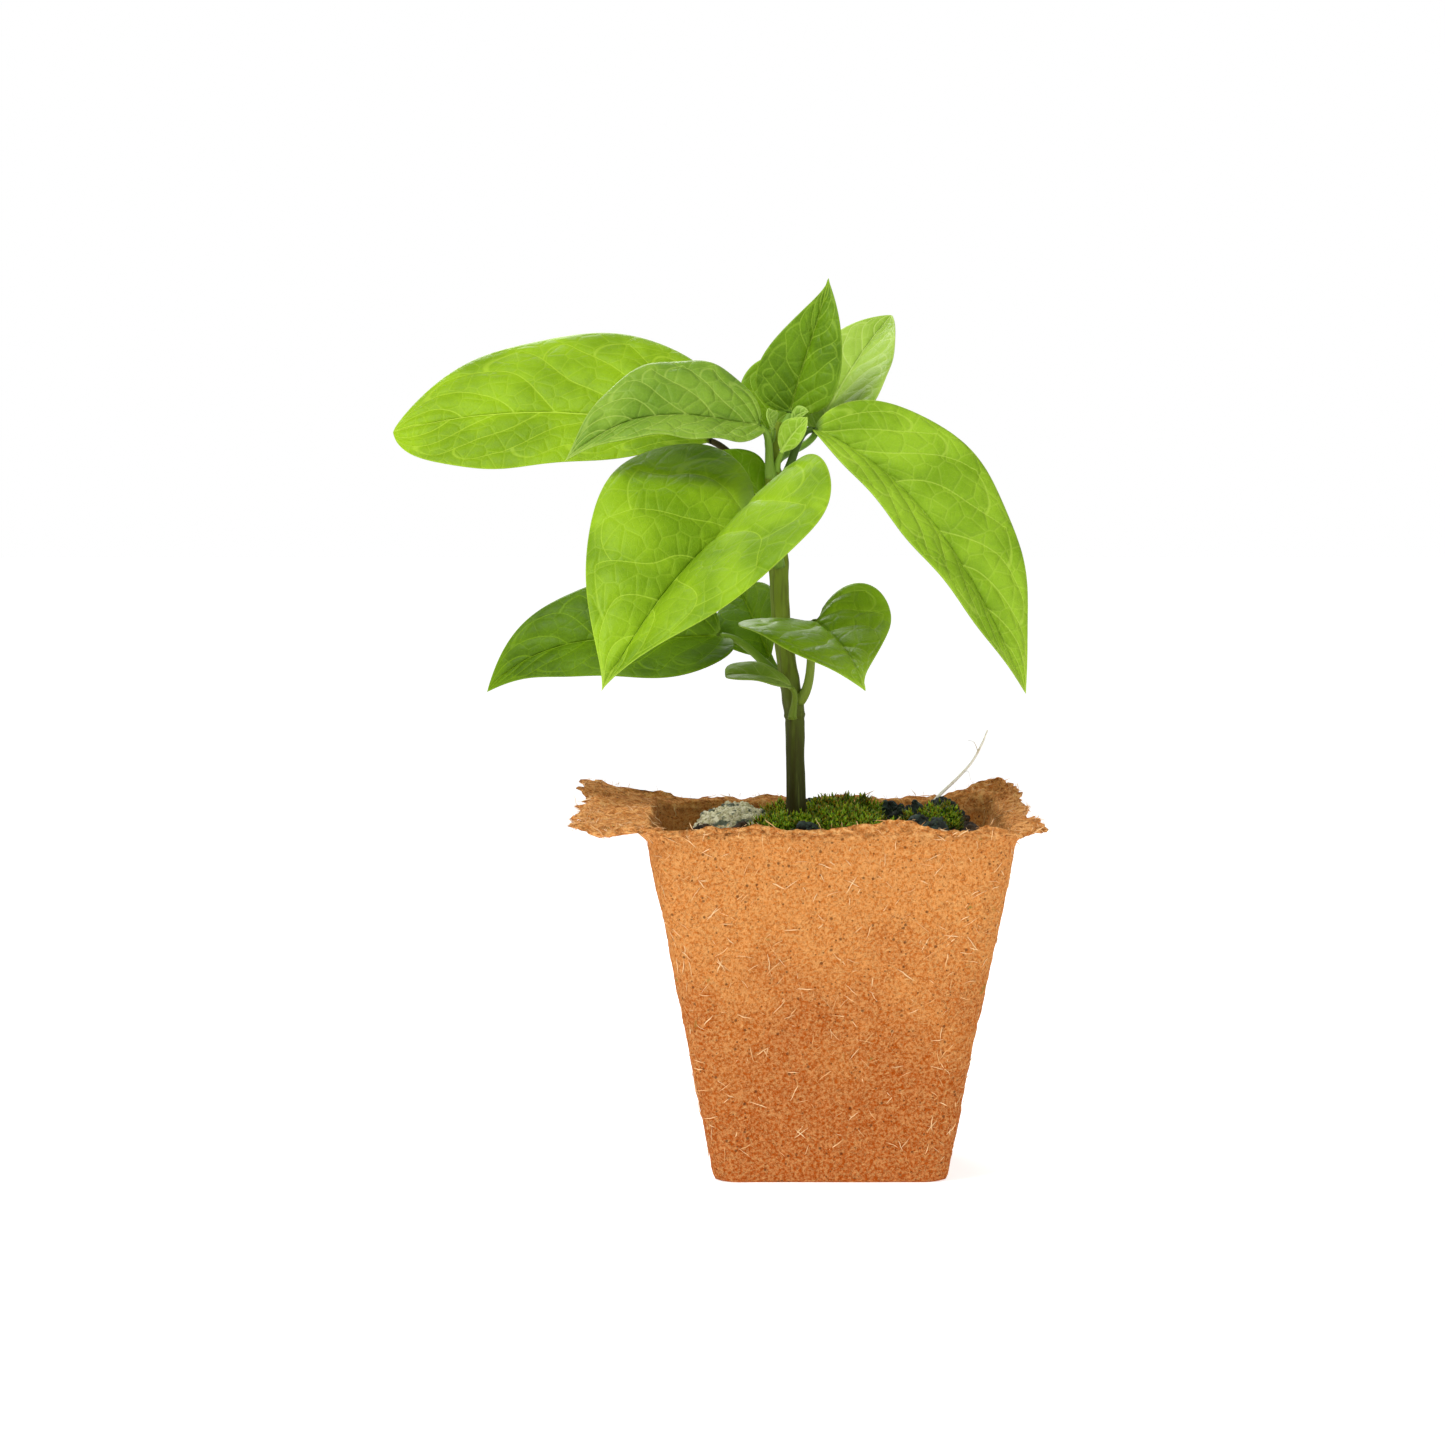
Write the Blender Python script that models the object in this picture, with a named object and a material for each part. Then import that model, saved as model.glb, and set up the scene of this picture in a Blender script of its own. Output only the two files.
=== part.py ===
"""Potted chilli pepper: a young plant in a square pot of pressed wood fibre.

Built as the real thing goes together: the pot, the root ball in it, what lies and grows on the soil, the stem,
and the leaves one by one. Each leaf is one grown piece, a petiole that widens into its blade.
Lengths in this file are millimetres until they are written to a mesh. The origin is the centre of the pot's
base, on the ground; +Z is up and the pot's front faces -Y.
"""

from math import cos, pi, radians, sin, tau

import bpy
import numpy as np

MM = 0.001
GAP = 0.3  # clearance that touching pieces keep

# Pot
POT_HEIGHT = 80.0
POT_BASE_HALF = 26.0
POT_TOP_HALF = 41.2
POT_BASE_CORNER = 5.0
POT_TOP_CORNER = 8.0
POT_FOOT = 1.6  # height of the rounded bottom edge
POT_WALL = 2.0
POT_FLOOR = 2.5
LIP_LEFT, LIP_RIGHT, LIP_FRONT, LIP_BACK = 15.0, 4.6, 0.8, 4.0  # how far the torn lip stands out
LIP_THICK = 1.6
LIP_CORNER = 9.0
LIP_CURL_LEFT, LIP_CURL_RIGHT = 3.4, 3.0  # how far the two back corners turn up
DRAIN_RADIUS = 3.0
DRAIN_OFFSET = 12.0
DRAIN_SIDES = 16
ARC_STEPS = 5
SIDE_STEPS = 9

# Root ball
SOIL_BOTTOM = POT_FLOOR + GAP
SOIL_SHOULDER = 57.0  # up to here the soil fills the pot
SOIL_TOP = 77.0
SOIL_LEFT, SOIL_RIGHT, SOIL_FRONT, SOIL_BACK = -29.0, 33.0, -33.5, 34.0  # edges of its top

# Stem: the points that its centre line passes, and its radius at each
STEM_LINE = (
    (-7.1, 0, SOIL_TOP + GAP), (-7.4, 0, 93), (-7.6, 0, 103), (-9, 0, 112), (-10.6, 0, 124),
    (-11.3, 0, 138), (-12.1, 0, 152), (-12.5, 0, 162), (-11, 0, 169),
)
STEM_RADIUS = (2.5, 2.1, 2.3, 2.2, 2.1, 2.2, 1.9, 1.5, 0.8)
STEM_SIDES = 12

# Leaves. rib: four points that the midrib passes, from the base of the blade to its tip. face: which way the
# upper side looks at base and tip. width: the left and right half at their widest, which is at the share
# "widest" of the length; "point" is how sharply each runs to the tip. fold: how far each half rises from
# flat, at base and tip, in degrees. lobe: how far each half sweeps back past the base. stalk: where the petiole
# leaves the stem, as its height, its turn from +X in degrees, and how steeply it climbs, in degrees.
LEAVES = {
    "leaf_left_long": dict(
        stalk=(147, 143, 45), rib=((-27, 9, 165), (-51, 13, 170.5), (-76, 16, 171), (-100, 18, 167)),
        face=((0, -4, 3), (0, -4, 3)), width=(15.5, 25), widest=(0.6, 0.41), point=(0.5, 0.85),
        fold=((25, 0), (20, -5)), lobe=(4, 4),
    ),
    "leaf_left_folded": dict(
        stalk=(157, 238, 55), rib=((-16, -4, 168), (-30, -9, 170), (-44, -14, 169), (-59, -18, 160)),
        face=((0, -3, 4), (0, -3, 4)), width=(12.5, 15.5), widest=(0.36, 0.36), point=(1.2, 1.2),
        fold=((20, 10), (28, 20)), lobe=(4, 4),
    ),
    "leaf_front_broad": dict(
        stalk=(137, 268, 45),
        rib=((-19, -17, 146.5), (-31, -29, 137.5), (-41, -40, 125), (-50, -49, 110.5)),
        face=((-1, -7, 7), (-1, -7, 7)), width=(34, 29), widest=(0.33, 0.25), point=(1.8, 1.3),
        fold=((85, 26), (5, 12)), lobe=(25, 24),
    ),
    "leaf_top_upright": dict(
        stalk=(165, 68, 70), rib=((-8.5, 3, 171.5), (-6, 2, 181), (-2.5, 1, 192), (0, 3, 201.5)),
        face=((-1, -9, 1), (-1, -9, 1)), width=(10, 10), widest=(0.28, 0.33), point=(1.75, 1.4),
        fold=((25, 20), (25, 20)), lobe=(2, 2),
    ),
    "leaf_back_right": dict(
        stalk=(161, 35, 25), rib=((-2.5, 8.5, 167), (2.5, 15.5, 176), (8.5, 24.5, 185.5), (15.5, 31.5, 194.5)),
        face=((-3, -6, 7), (-3, -6, 7)), width=(12, 14), widest=(0.45, 0.25), point=(0.9, 0.75),
        fold=((20, 15), (20, 15)), lobe=(1, 1),
    ),
    "leaf_right_drooping": dict(
        stalk=(155, 345, 45), rib=((-3, -3, 167), (18, -7, 152), (33, -10, 131), (44, -12, 108)),
        face=((3, -7, 6), (6, -7, 4)), width=(19.5, 14.5), widest=(0.37, 0.37), point=(1.15, 1.15),
        fold=((25, 15), (40, 18)), lobe=(4, 4),
    ),
    "leaf_back_crown": dict(
        stalk=(158, 85, 50), rib=((-13.5, 6, 166), (-11, 9.5, 173.5), (-7.5, 13, 179.5), (-3, 16, 184)),
        face=((0, -8, 4), (0, -8, 4)), width=(10, 8), widest=(0.42, 0.42), point=(1.05, 1.05),
        fold=((15, 10), (15, 10)), lobe=(1, 1),
    ),
    "leaf_inner_small": dict(
        stalk=(149.5, 175, 60),
        rib=((-15.6, 1.6, 152.4), (-18.2, 2.4, 156.2), (-21.4, 2.6, 159.6), (-24.6, 2.6, 162.6)),
        face=((2, -8, 5), (2, -8, 5)), width=(4, 5.5), widest=(0.45, 0.45), point=(1.05, 1.05),
        fold=((20, 15), (20, 15)), lobe=(0, 0),
    ),
    "leaf_low_left": dict(
        stalk=(111, 150, 25), rib=((-25, 8, 120.3), (-44, 12, 119.7), (-62.5, 15, 117.3), (-78.5, 17, 107)),
        face=((0, -7, 6), (0, -7, 6)), width=(15.5, 15.5), widest=(0.36, 0.36), point=(1.1, 1.1),
        fold=((20, 15), (20, 15)), lobe=(13.2, 3),
    ),
    "leaf_low_back": dict(
        stalk=(108, 105, 30), rib=((-13, 8, 115), (-15.5, 13, 121), (-18, 19, 126.5), (-20.5, 25, 131)),
        face=((-4, -5, 7), (-4, -5, 7)), width=(9.5, 8.5), widest=(0.5, 0.5), point=(1.0, 1.0),
        fold=((15, 10), (45, 30)), lobe=(0, 0),
    ),
    "leaf_low_front": dict(
        stalk=(106, 325, 30),
        rib=((-2.8, -9, 124), (1.5, -19.5, 120.2), (4.8, -29.5, 115.6), (7, -39.5, 110)),
        face=((1, -4, 9), (1, -4, 9)), width=(15.5, 19.5), widest=(0.2, 0.26), point=(2.1, 1.3),
        fold=((52, 10), (-4, 6)), lobe=(5, 11),
    ),
    "cotyledon": dict(
        stalk=(102, 255, 75),
        rib=((-8.6, -5, 109.2), (-13, -7, 111.2), (-18.2, -8.5, 112.2), (-23.4, -9, 111.9)),
        face=((4, -5, 8), (1, -3, 9)), width=(4.5, 5), widest=(0.65, 0.65), point=(0.28, 0.28),
        fold=((15, 10), (15, 10)), lobe=(0, 0),
    ),
    "tip_leaflet_1": dict(
        stalk=(158, 295, 70), rib=((-10.7, -3.6, 162), (-9, -5, 165), (-7, -6.5, 167.5), (-5, -7, 170)),
        face=((-3, -9, 3), (-3, -9, 3)), width=(3.5, 3.5), widest=(0.5, 0.5), point=(1.05, 1.05),
        fold=((25, 20), (25, 20)), lobe=(0, 0),
    ),
    "tip_leaflet_2": dict(
        stalk=(164, 215, 65),
        rib=((-12.6, -3.2, 167.5), (-13.2, -4.2, 169), (-13.6, -5.2, 170.5), (-13.6, -6, 172)),
        face=((4, -7, 5), (4, -7, 5)), width=(2.5, 2.5), widest=(0.5, 0.5), point=(1.05, 1.05),
        fold=((30, 25), (30, 25)), lobe=(0, 0),
    ),
    "tip_leaflet_3": dict(
        stalk=(166, 325, 60),
        rib=((-8.4, -2.4, 169), (-7.2, -2.9, 170.2), (-5.9, -3.3, 171), (-4.6, -3.5, 171.3)),
        face=((-2, -7, 6), (-2, -7, 6)), width=(2, 2), widest=(0.5, 0.5), point=(1.05, 1.05),
        fold=((30, 25), (30, 25)), lobe=(0, 0),
    ),
}
BLADE_HALF_THICK = 0.22
STALK_RADIUS = (1.15, 0.75)  # of the petiole, at the stem and at the blade
STALK_STEPS = 5
LOBE_ROUND = 0.6  # below 1, the lobes past the base are round
FOLD_FADE = 5  # how soon the fold at the base turns into the fold at the tip
ALONG = (0.02, 0.06, 0.13, 0.24, 0.38, 0.53, 0.68, 0.82, 0.93, 1.0)  # where the blade is cut across
ACROSS = 7

# What lies and grows on the soil: centre, half sizes and, for the moss, height
MOSS = {
    "moss_cushion_1": ((6, -7), (11, 9), 4.5),
    "moss_cushion_2": ((-13.5, -20), (9, 8), 3.5),
    "moss_cushion_3": ((10, 14), (12, 9), 6.5),
    "moss_cushion_4": ((-11, 15), (7.5, 9), 4.0),
    "moss_cushion_5": ((26, -12), (6, 8), 4.0),
    "moss_cushion_6": ((6, -24), (9, 6), 3.0),
}
CLODS = {
    "soil_clod_1": ((19.5, -21.5), (3.0, 2.6, 2.2)),
    "soil_clod_2": ((23, -27), (3.4, 2.4, 2.0)),
    "soil_clod_3": ((27.5, 2.5), (3.2, 3.6, 2.6)),
    "soil_clod_4": ((26, 12), (2.6, 3.0, 3.0)),
    "soil_clod_5": ((26.5, 20.5), (3.4, 3.4, 2.6)),
    "soil_clod_6": ((-5.5, -29.5), (3.2, 2.2, 1.8)),
    "soil_clod_7": ((-3.5, 28), (3.4, 2.6, 2.2)),
}
CRUST_CENTRE, CRUST_HALF, CRUST_HEIGHT = (-22, -2), (6, 13), 2.4
STRAW_LINE = (
    (20, 26.5, SOIL_TOP + 0.9), (24, 27.5, 83), (28.5, 28.5, 87.5),
    (32, 29.5, 91.5), (34.5, 30, 95.5), (36, 30, 99),
)
STRAW_RADIUS = (0.55, 0.5, 0.45, 0.4, 0.35, 0.3)


def empty_the_scene():
    for old in list(bpy.data.objects):
        bpy.data.objects.remove(old)


def material(name, colour, roughness):
    made = bpy.data.materials.new(name)
    made.use_nodes = True
    shader = made.node_tree.nodes["Principled BSDF"]
    shader.inputs["Base Color"].default_value = (*colour, 1)
    shader.inputs["Roughness"].default_value = roughness
    shader.inputs["Metallic"].default_value = 0
    made.diffuse_color = (*colour, 1)
    return made


def add_object(name, points, faces, colour, roughness):
    """An object from points in millimetres, with its own material."""
    mesh = bpy.data.meshes.new(name)
    mesh.from_pydata([tuple(float(c) * MM for c in p) for p in points], [], faces)
    mesh.validate()
    mesh.shade_smooth()
    mesh.set_sharp_from_angle(angle=radians(40))
    mesh.materials.append(material(name, colour, roughness))
    made = bpy.data.objects.new(name, mesh)
    bpy.context.collection.objects.link(made)
    return made


def loft(rings):
    """Points and faces of a closed skin over rings that turn anticlockwise seen from the last ring."""
    count = len(rings[0])
    points = [p for ring in rings for p in ring]
    faces = [tuple(reversed(range(count)))]
    for k in range(len(rings) - 1):
        for i in range(count):
            j = (i + 1) % count
            faces.append((k * count + i, k * count + j, (k + 1) * count + j, (k + 1) * count + i))
    faces.append(tuple(range((len(rings) - 1) * count, len(rings) * count)))
    return points, faces


def unit(vector):
    return vector / np.linalg.norm(vector, axis=-1, keepdims=True)


def tube_rings(line, radii, sides):
    """Round rings square to a line of points."""
    line = np.array(line, float)
    along = unit(np.gradient(line, axis=0))
    start = np.cross(along[0], (0, 1, 0) if abs(along[0][1]) < 0.9 else (1, 0, 0))
    rings = []
    for centre, tangent, radius in zip(line, along, radii):
        start = unit(start - np.dot(start, tangent) * tangent)
        side = np.cross(tangent, start)
        turns = [tau * k / sides for k in range(sides)]
        rings.append([centre + radius * (cos(a) * start + sin(a) * side) for a in turns])
    return rings


# ---- pot and soil


def rounded_box(left, right, front, back, corner):
    """Anticlockwise outline of a box with round corners; every outline has the same number of points."""
    centres = ((right - corner, front + corner), (right - corner, back - corner),
               (left + corner, back - corner), (left + corner, front + corner))
    corners = []
    for k, (cx, cy) in enumerate(centres):
        turns = [pi / 2 * (k - 1 + i / ARC_STEPS) for i in range(ARC_STEPS + 1)]
        corners.append([(cx + corner * cos(a), cy + corner * sin(a)) for a in turns])
    outline = []
    for k in range(4):
        outline += corners[k]
        (x0, y0), (x1, y1) = corners[k][-1], corners[(k + 1) % 4][0]
        shares = [i / SIDE_STEPS for i in range(1, SIDE_STEPS)]
        outline += [(x0 + (x1 - x0) * s, y0 + (y1 - y0) * s) for s in shares]
    return outline


def square_ring(half, corner, height):
    return [(x, y, height) for x, y in rounded_box(-half, half, -half, half, corner)]


def wall_half(height):
    return POT_BASE_HALF + (POT_TOP_HALF - POT_BASE_HALF) * height / POT_HEIGHT


def wall_corner(height):
    return POT_BASE_CORNER + (POT_TOP_CORNER - POT_BASE_CORNER) * height / POT_HEIGHT


def tear(x, y):
    """How far the torn edge wanders at a place on the lip, from -1 to 1."""
    return 0.5 * sin(0.41 * x + 0.9 * sin(0.23 * y)) + 0.5 * sin(0.53 * y + 1.3 * sin(0.31 * x) + 1)


def lip_height(x, y):
    """The lip waves a little, and its two back corners turn up."""
    left_corner = max(0, 1 - np.hypot(x + 56, y - 45) / 22)
    right_corner = max(0, 1 - np.hypot(x - 45, y - 45) / 18)
    return 0.7 * tear(x, y) + LIP_CURL_LEFT * left_corner**1.5 + LIP_CURL_RIGHT * right_corner**1.5


def lip_ring(share, height):
    """A ring on the lip: share 0 is at the wall, 1 at the torn edge."""
    half = POT_TOP_HALF
    inner = rounded_box(-half, half, -half, half, POT_TOP_CORNER)
    outer = rounded_box(-half - LIP_LEFT, half + LIP_RIGHT, -half - LIP_FRONT, half + LIP_BACK, LIP_CORNER)
    ring = []
    for (ix, iy), (ox, oy) in zip(inner, outer):
        reach = np.hypot(ox - ix, oy - iy)
        far = share * (1 + 0.9 * tear(2 * ox, 2 * oy) / max(reach, 3))
        x, y = ix + (ox - ix) * far, iy + (oy - iy) * far
        ring.append((x, y, height + share * lip_height(ox, oy)))
    return ring


def make_pot():
    top = POT_HEIGHT
    under = top - LIP_THICK
    rings = [
        square_ring(POT_BASE_HALF - POT_FOOT * 0.6, POT_BASE_CORNER, 0),
        square_ring(wall_half(POT_FOOT * 0.4), POT_BASE_CORNER, POT_FOOT * 0.4),
        square_ring(wall_half(POT_FOOT), POT_BASE_CORNER, POT_FOOT),
        square_ring(wall_half(under - 3), wall_corner(under - 3), under - 3),
        lip_ring(0.08, under),
        lip_ring(0.55, under),
        lip_ring(1.0, under + 0.1),
        lip_ring(1.0, top - 0.2),
        lip_ring(0.5, top),
        square_ring(POT_TOP_HALF - 0.6, POT_TOP_CORNER, top),
        square_ring(POT_TOP_HALF - POT_WALL, POT_TOP_CORNER - POT_WALL, top - 1.4),
        square_ring(wall_half(POT_FLOOR) - POT_WALL, 3, POT_FLOOR),
    ]
    pot = add_object("pot", *loft(rings), colour=(0.70, 0.30, 0.09), roughness=0.9)
    places = [(sx * DRAIN_OFFSET, sy * DRAIN_OFFSET) for sx in (-1, 1) for sy in (-1, 1)]
    for k, (x, y) in enumerate(places):
        core = ((x, y, -2), (x, y, POT_FLOOR + 2))
        rings = tube_rings(core, (DRAIN_RADIUS,) * 2, DRAIN_SIDES)
        drill = add_object(f"drill_{k}", *loft(rings), colour=(0.5, 0.5, 0.5), roughness=0.5)
        drill.hide_render = True
        drill.display_type = "WIRE"
        cut = pot.modifiers.new(f"drain hole {k}", "BOOLEAN")
        cut.object = drill
        cut.operation = "DIFFERENCE"
    return pot


def make_root_ball():
    """The soil fills the pot up to its shoulder; above it the ball has shrunk away from the wall."""
    snug = POT_WALL + 2 * GAP

    def snug_ring(height):
        return square_ring(wall_half(height) - snug, wall_corner(height), height)

    def free_ring(spread, height):
        outline = rounded_box(SOIL_LEFT - spread, SOIL_RIGHT + spread * 0.6, SOIL_FRONT - spread * 0.4,
                              SOIL_BACK + spread * 0.4, 9)
        return [(x, y, height) for x, y in outline]

    rings = [
        snug_ring(SOIL_BOTTOM), snug_ring(SOIL_SHOULDER * 0.5), snug_ring(SOIL_SHOULDER),
        free_ring(2.5, 69), free_ring(1.5, 74), free_ring(0, SOIL_TOP),
    ]
    return add_object("root_ball", *loft(rings), colour=(0.07, 0.045, 0.025), roughness=0.95)


def make_mound(name, centre, half, height, rings, sides, colour):
    """A low flat-bottomed mound on the soil."""
    floor = SOIL_TOP + GAP
    stack = []
    for k in range(rings + 1):
        rise = pi / 2 * k / rings * 0.9
        ring = []
        for i in range(sides):
            turn = tau * i / sides
            uneven = 1 + 0.08 * sin(3 * turn + centre[0]) + 0.05 * sin(5 * turn + centre[1])
            x = centre[0] + half[0] * uneven * cos(turn) * cos(rise)
            y = centre[1] + half[1] * uneven * sin(turn) * cos(rise)
            ring.append((x, y, floor + height * sin(rise)))
        stack.append(ring)
    return add_object(name, *loft(stack), colour=colour, roughness=0.95)


def make_ground_cover():
    for name, (centre, half, height) in MOSS.items():
        make_mound(name, centre, half, height, 4, 18, (0.12, 0.17, 0.01))
    for name, (centre, half) in CLODS.items():
        make_mound(name, centre, half[:2], 2 * half[2], 3, 8, (0.03, 0.03, 0.02))
    make_mound("mineral_crust", CRUST_CENTRE, CRUST_HALF, CRUST_HEIGHT, 2, 18, (0.33, 0.30, 0.15))
    straw = tube_rings(STRAW_LINE, STRAW_RADIUS, 6)
    add_object("dry_stalk", *loft(straw), colour=(0.75, 0.60, 0.35), roughness=0.8)


# ---- stem and leaves


def make_stem():
    rings = tube_rings(STEM_LINE, STEM_RADIUS, STEM_SIDES)
    return add_object("stem", *loft(rings), colour=(0.05, 0.08, 0.01), roughness=0.5)


def through_four(points, share):
    """The cubic curve that passes four points at 0, 1/3, 2/3 and 1."""
    knots = (0, 1 / 3, 2 / 3, 1)
    total = np.zeros(3)
    for i, point in enumerate(points):
        weight = 1
        for j in range(4):
            if i != j:
                weight *= (share - knots[j]) / (knots[i] - knots[j])
        total += weight * np.array(point, float)
    return total


def rib_frame(leaf, share):
    """Place, direction, right-hand side and upper side of the midrib."""
    step = 1e-4
    along = unit(through_four(leaf["rib"], share + step) - through_four(leaf["rib"], share - step))
    start, end = (unit(np.array(way, float)) for way in leaf["face"])
    face = start + (end - start) * share
    upper = unit(face - np.dot(face, along) * along)
    return through_four(leaf["rib"], share), along, np.cross(along, upper), upper


def blade_shape(leaf, share, half):
    """Width of one half of the blade, as a share of its widest."""
    widest, point = leaf["widest"][half], leaf["point"][half]
    base = point * widest / (1 - widest)
    return share**base * (1 - share) ** point / (widest**base * (1 - widest) ** point)


def blade_point(leaf, share, across):
    """A point on the middle of the blade, and the direction its upper side looks there."""
    place, along, side, upper = rib_frame(leaf, share)
    half = 1 if across > 0 else 0
    shape = blade_shape(leaf, share, half)
    reach = max(leaf["width"][half] * shape, 0.3) * abs(across)
    at_base, at_tip = leaf["fold"][half]
    fold = radians(at_tip + (at_base - at_tip) * (1 - share) ** FOLD_FADE)
    outward = side if across > 0 else -side
    back = leaf["lobe"][half] * abs(across) ** 1.5 * (1 - share) ** 2 * shape**LOBE_ROUND
    point = place + reach * (cos(fold) * outward + sin(fold) * upper) - back * along
    looks = cos(fold) * upper - sin(fold) * outward if across else upper
    return point, looks


def blade_ring(leaf, share, count):
    """The blade cut across: over its upper side from left to right, and back under its lower side."""
    across = [-1 + 2 * k / (count - 1) for k in range(count)]
    over, under = [], []
    for v in across:
        point, looks = blade_point(leaf, share, v)
        rib = STALK_RADIUS[1] * (1 - share) ** 0.7 if v == 0 else 0
        over.append(point + BLADE_HALF_THICK * looks)
        under.append(point - (BLADE_HALF_THICK + 1.3 * rib) * looks)
    return over + under[::-1]


def stalk_rings(leaf, count):
    """The petiole, a curve from the stem's skin to the base of the blade; its foot clears the stem."""
    height, turn, climb = leaf["stalk"]
    slim = min(1, 0.45 + leaf["width"][0] / 14)
    heights = [place[2] for place in STEM_LINE]
    x, y = (np.interp(height, heights, [place[k] for place in STEM_LINE]) for k in (0, 1))
    centre = np.array([x, y, height])
    outward = np.array([cos(radians(turn)), sin(radians(turn)), 0])
    stem_radius = np.interp(height, heights, STEM_RADIUS)
    start = centre + (stem_radius + GAP + STALK_RADIUS[0] * slim * sin(radians(climb))) * outward
    leave = cos(radians(climb)) * outward + sin(radians(climb)) * np.array([0, 0, 1])
    end, arrive, side, upper = rib_frame(leaf, 0)
    length = np.linalg.norm(end - start)
    rings = []
    for k in range(STALK_STEPS + 1):
        t = k / STALK_STEPS
        h = (2 * t**3 - 3 * t**2 + 1, t**3 - 2 * t**2 + t, 3 * t**2 - 2 * t**3, t**3 - t**2)
        dh = (6 * t**2 - 6 * t, 3 * t**2 - 4 * t + 1, 6 * t - 6 * t**2, 3 * t**2 - 2 * t)
        centre = h[0] * start + h[1] * length * leave + h[2] * end + h[3] * length * arrive
        along = unit(dh[0] * start + dh[1] * length * leave + dh[2] * end + dh[3] * length * arrive)
        right = unit(side - np.dot(side, along) * along)
        over = np.cross(right, along)
        radius = (STALK_RADIUS[0] + (STALK_RADIUS[1] - STALK_RADIUS[0]) * t) * slim
        half_turn = [pi * (i + 0.5) / count for i in range(count)]
        turns = [pi - a for a in half_turn] + [-a for a in half_turn]
        rings.append([centre + radius * (cos(a) * right + sin(a) * over) for a in turns])
    return rings


def make_leaf(name, leaf):
    count = ACROSS if leaf["width"][0] > 8 else ACROSS - 2
    rings = stalk_rings(leaf, count) + [blade_ring(leaf, share, count) for share in ALONG]
    return add_object(name, *loft(rings), colour=(0.25, 0.43, 0.02), roughness=0.45)


empty_the_scene()
make_pot()
make_root_ball()
make_ground_cover()
make_stem()
for leaf_name, leaf_design in LEAVES.items():
    make_leaf(leaf_name, leaf_design)
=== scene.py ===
"""Potted chilli pepper: how the young plant and its pressed wood-fibre pot look.

Lengths are millimetres, with +Z up and the pot's front towards -Y, and become metres when a mesh is made.
"""

from math import cos, pi, radians, sin, tau

import bpy
import numpy as np
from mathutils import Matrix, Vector


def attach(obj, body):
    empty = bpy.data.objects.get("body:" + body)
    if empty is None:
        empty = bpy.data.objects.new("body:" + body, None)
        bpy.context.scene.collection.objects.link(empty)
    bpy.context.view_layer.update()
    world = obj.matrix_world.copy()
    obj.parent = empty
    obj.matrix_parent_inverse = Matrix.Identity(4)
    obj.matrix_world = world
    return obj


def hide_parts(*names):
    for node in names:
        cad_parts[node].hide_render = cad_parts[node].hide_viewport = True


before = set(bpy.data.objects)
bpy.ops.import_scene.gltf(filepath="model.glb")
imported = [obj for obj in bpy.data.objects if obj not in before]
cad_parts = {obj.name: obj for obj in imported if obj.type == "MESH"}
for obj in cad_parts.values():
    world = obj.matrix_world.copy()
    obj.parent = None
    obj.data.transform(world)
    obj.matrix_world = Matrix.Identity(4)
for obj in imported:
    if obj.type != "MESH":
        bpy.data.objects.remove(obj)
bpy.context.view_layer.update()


# ---- Studio
# A white table under a soft lamp high on the left, a weak one on the right and one behind, in white
# surroundings. The camera stands close to a metre away, above the pot's rim, and looks slightly down.

MM = 0.001
CAMERA_PLACE = (-24.0, -910.0, 152.3)
CAMERA_DOWN = 3.23  # degrees
CAMERA_LENS, CAMERA_SENSOR = 100, 36
TABLE_HALF = 9000.0
SOFT_LAMPS = {  # place, what it points at, width, watts
    "key_lamp": ((-380, -420, 760), (0, 0, 110), 420, 6.0),
    "fill_lamp": ((620, -620, 300), (0, 0, 90), 620, 1.6),
    "back_lamp": ((-160, 620, 560), (0, 0, 120), 420, 3.0),
}
SURROUND_LIGHT = 0.5
TABLE_GLOW = 0.66


def metres(place):
    return tuple(float(c) * MM for c in place)


def in_scene(thing, data=None):
    """An object in the scene, from its name and data, or an object that isn't in it yet."""
    if isinstance(thing, str):
        thing = bpy.data.objects.new(thing, data)
    bpy.context.scene.collection.objects.link(thing)
    return thing


camera = in_scene("camera", bpy.data.cameras.new("camera"))
camera.data.lens = CAMERA_LENS
camera.data.sensor_width = CAMERA_SENSOR
camera.location = metres(CAMERA_PLACE)
camera.rotation_euler = (pi / 2 - radians(CAMERA_DOWN), 0, 0)
bpy.context.scene.camera = camera
bpy.context.scene.view_settings.view_transform = "Standard"

for lamp_name, (place, aim, width, watts) in SOFT_LAMPS.items():
    lamp = in_scene(lamp_name, bpy.data.lights.new(lamp_name, "AREA"))
    lamp.data.shape = "DISK"
    lamp.data.size = width * MM
    lamp.data.energy = watts
    lamp.location = metres(place)
    lamp.rotation_euler = (lamp.location - Vector(metres(aim))).to_track_quat("Z", "Y").to_euler()

world = bpy.data.worlds.new("white surroundings")
world.use_nodes = True
bpy.context.scene.world = world
sky = world.node_tree
sky_path = sky.nodes.new("ShaderNodeLightPath")
sky_range = sky.nodes.new("ShaderNodeMapRange")
sky_range.inputs["To Min"].default_value = SURROUND_LIGHT
sky_range.inputs["To Max"].default_value = 1.0
sky.links.new(sky_path.outputs["Is Camera Ray"], sky_range.inputs["Value"])
sky.links.new(sky_range.outputs["Result"], sky.nodes["Background"].inputs["Strength"])
sky.nodes["Background"].inputs["Color"].default_value = (1, 1, 1, 1)

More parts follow.
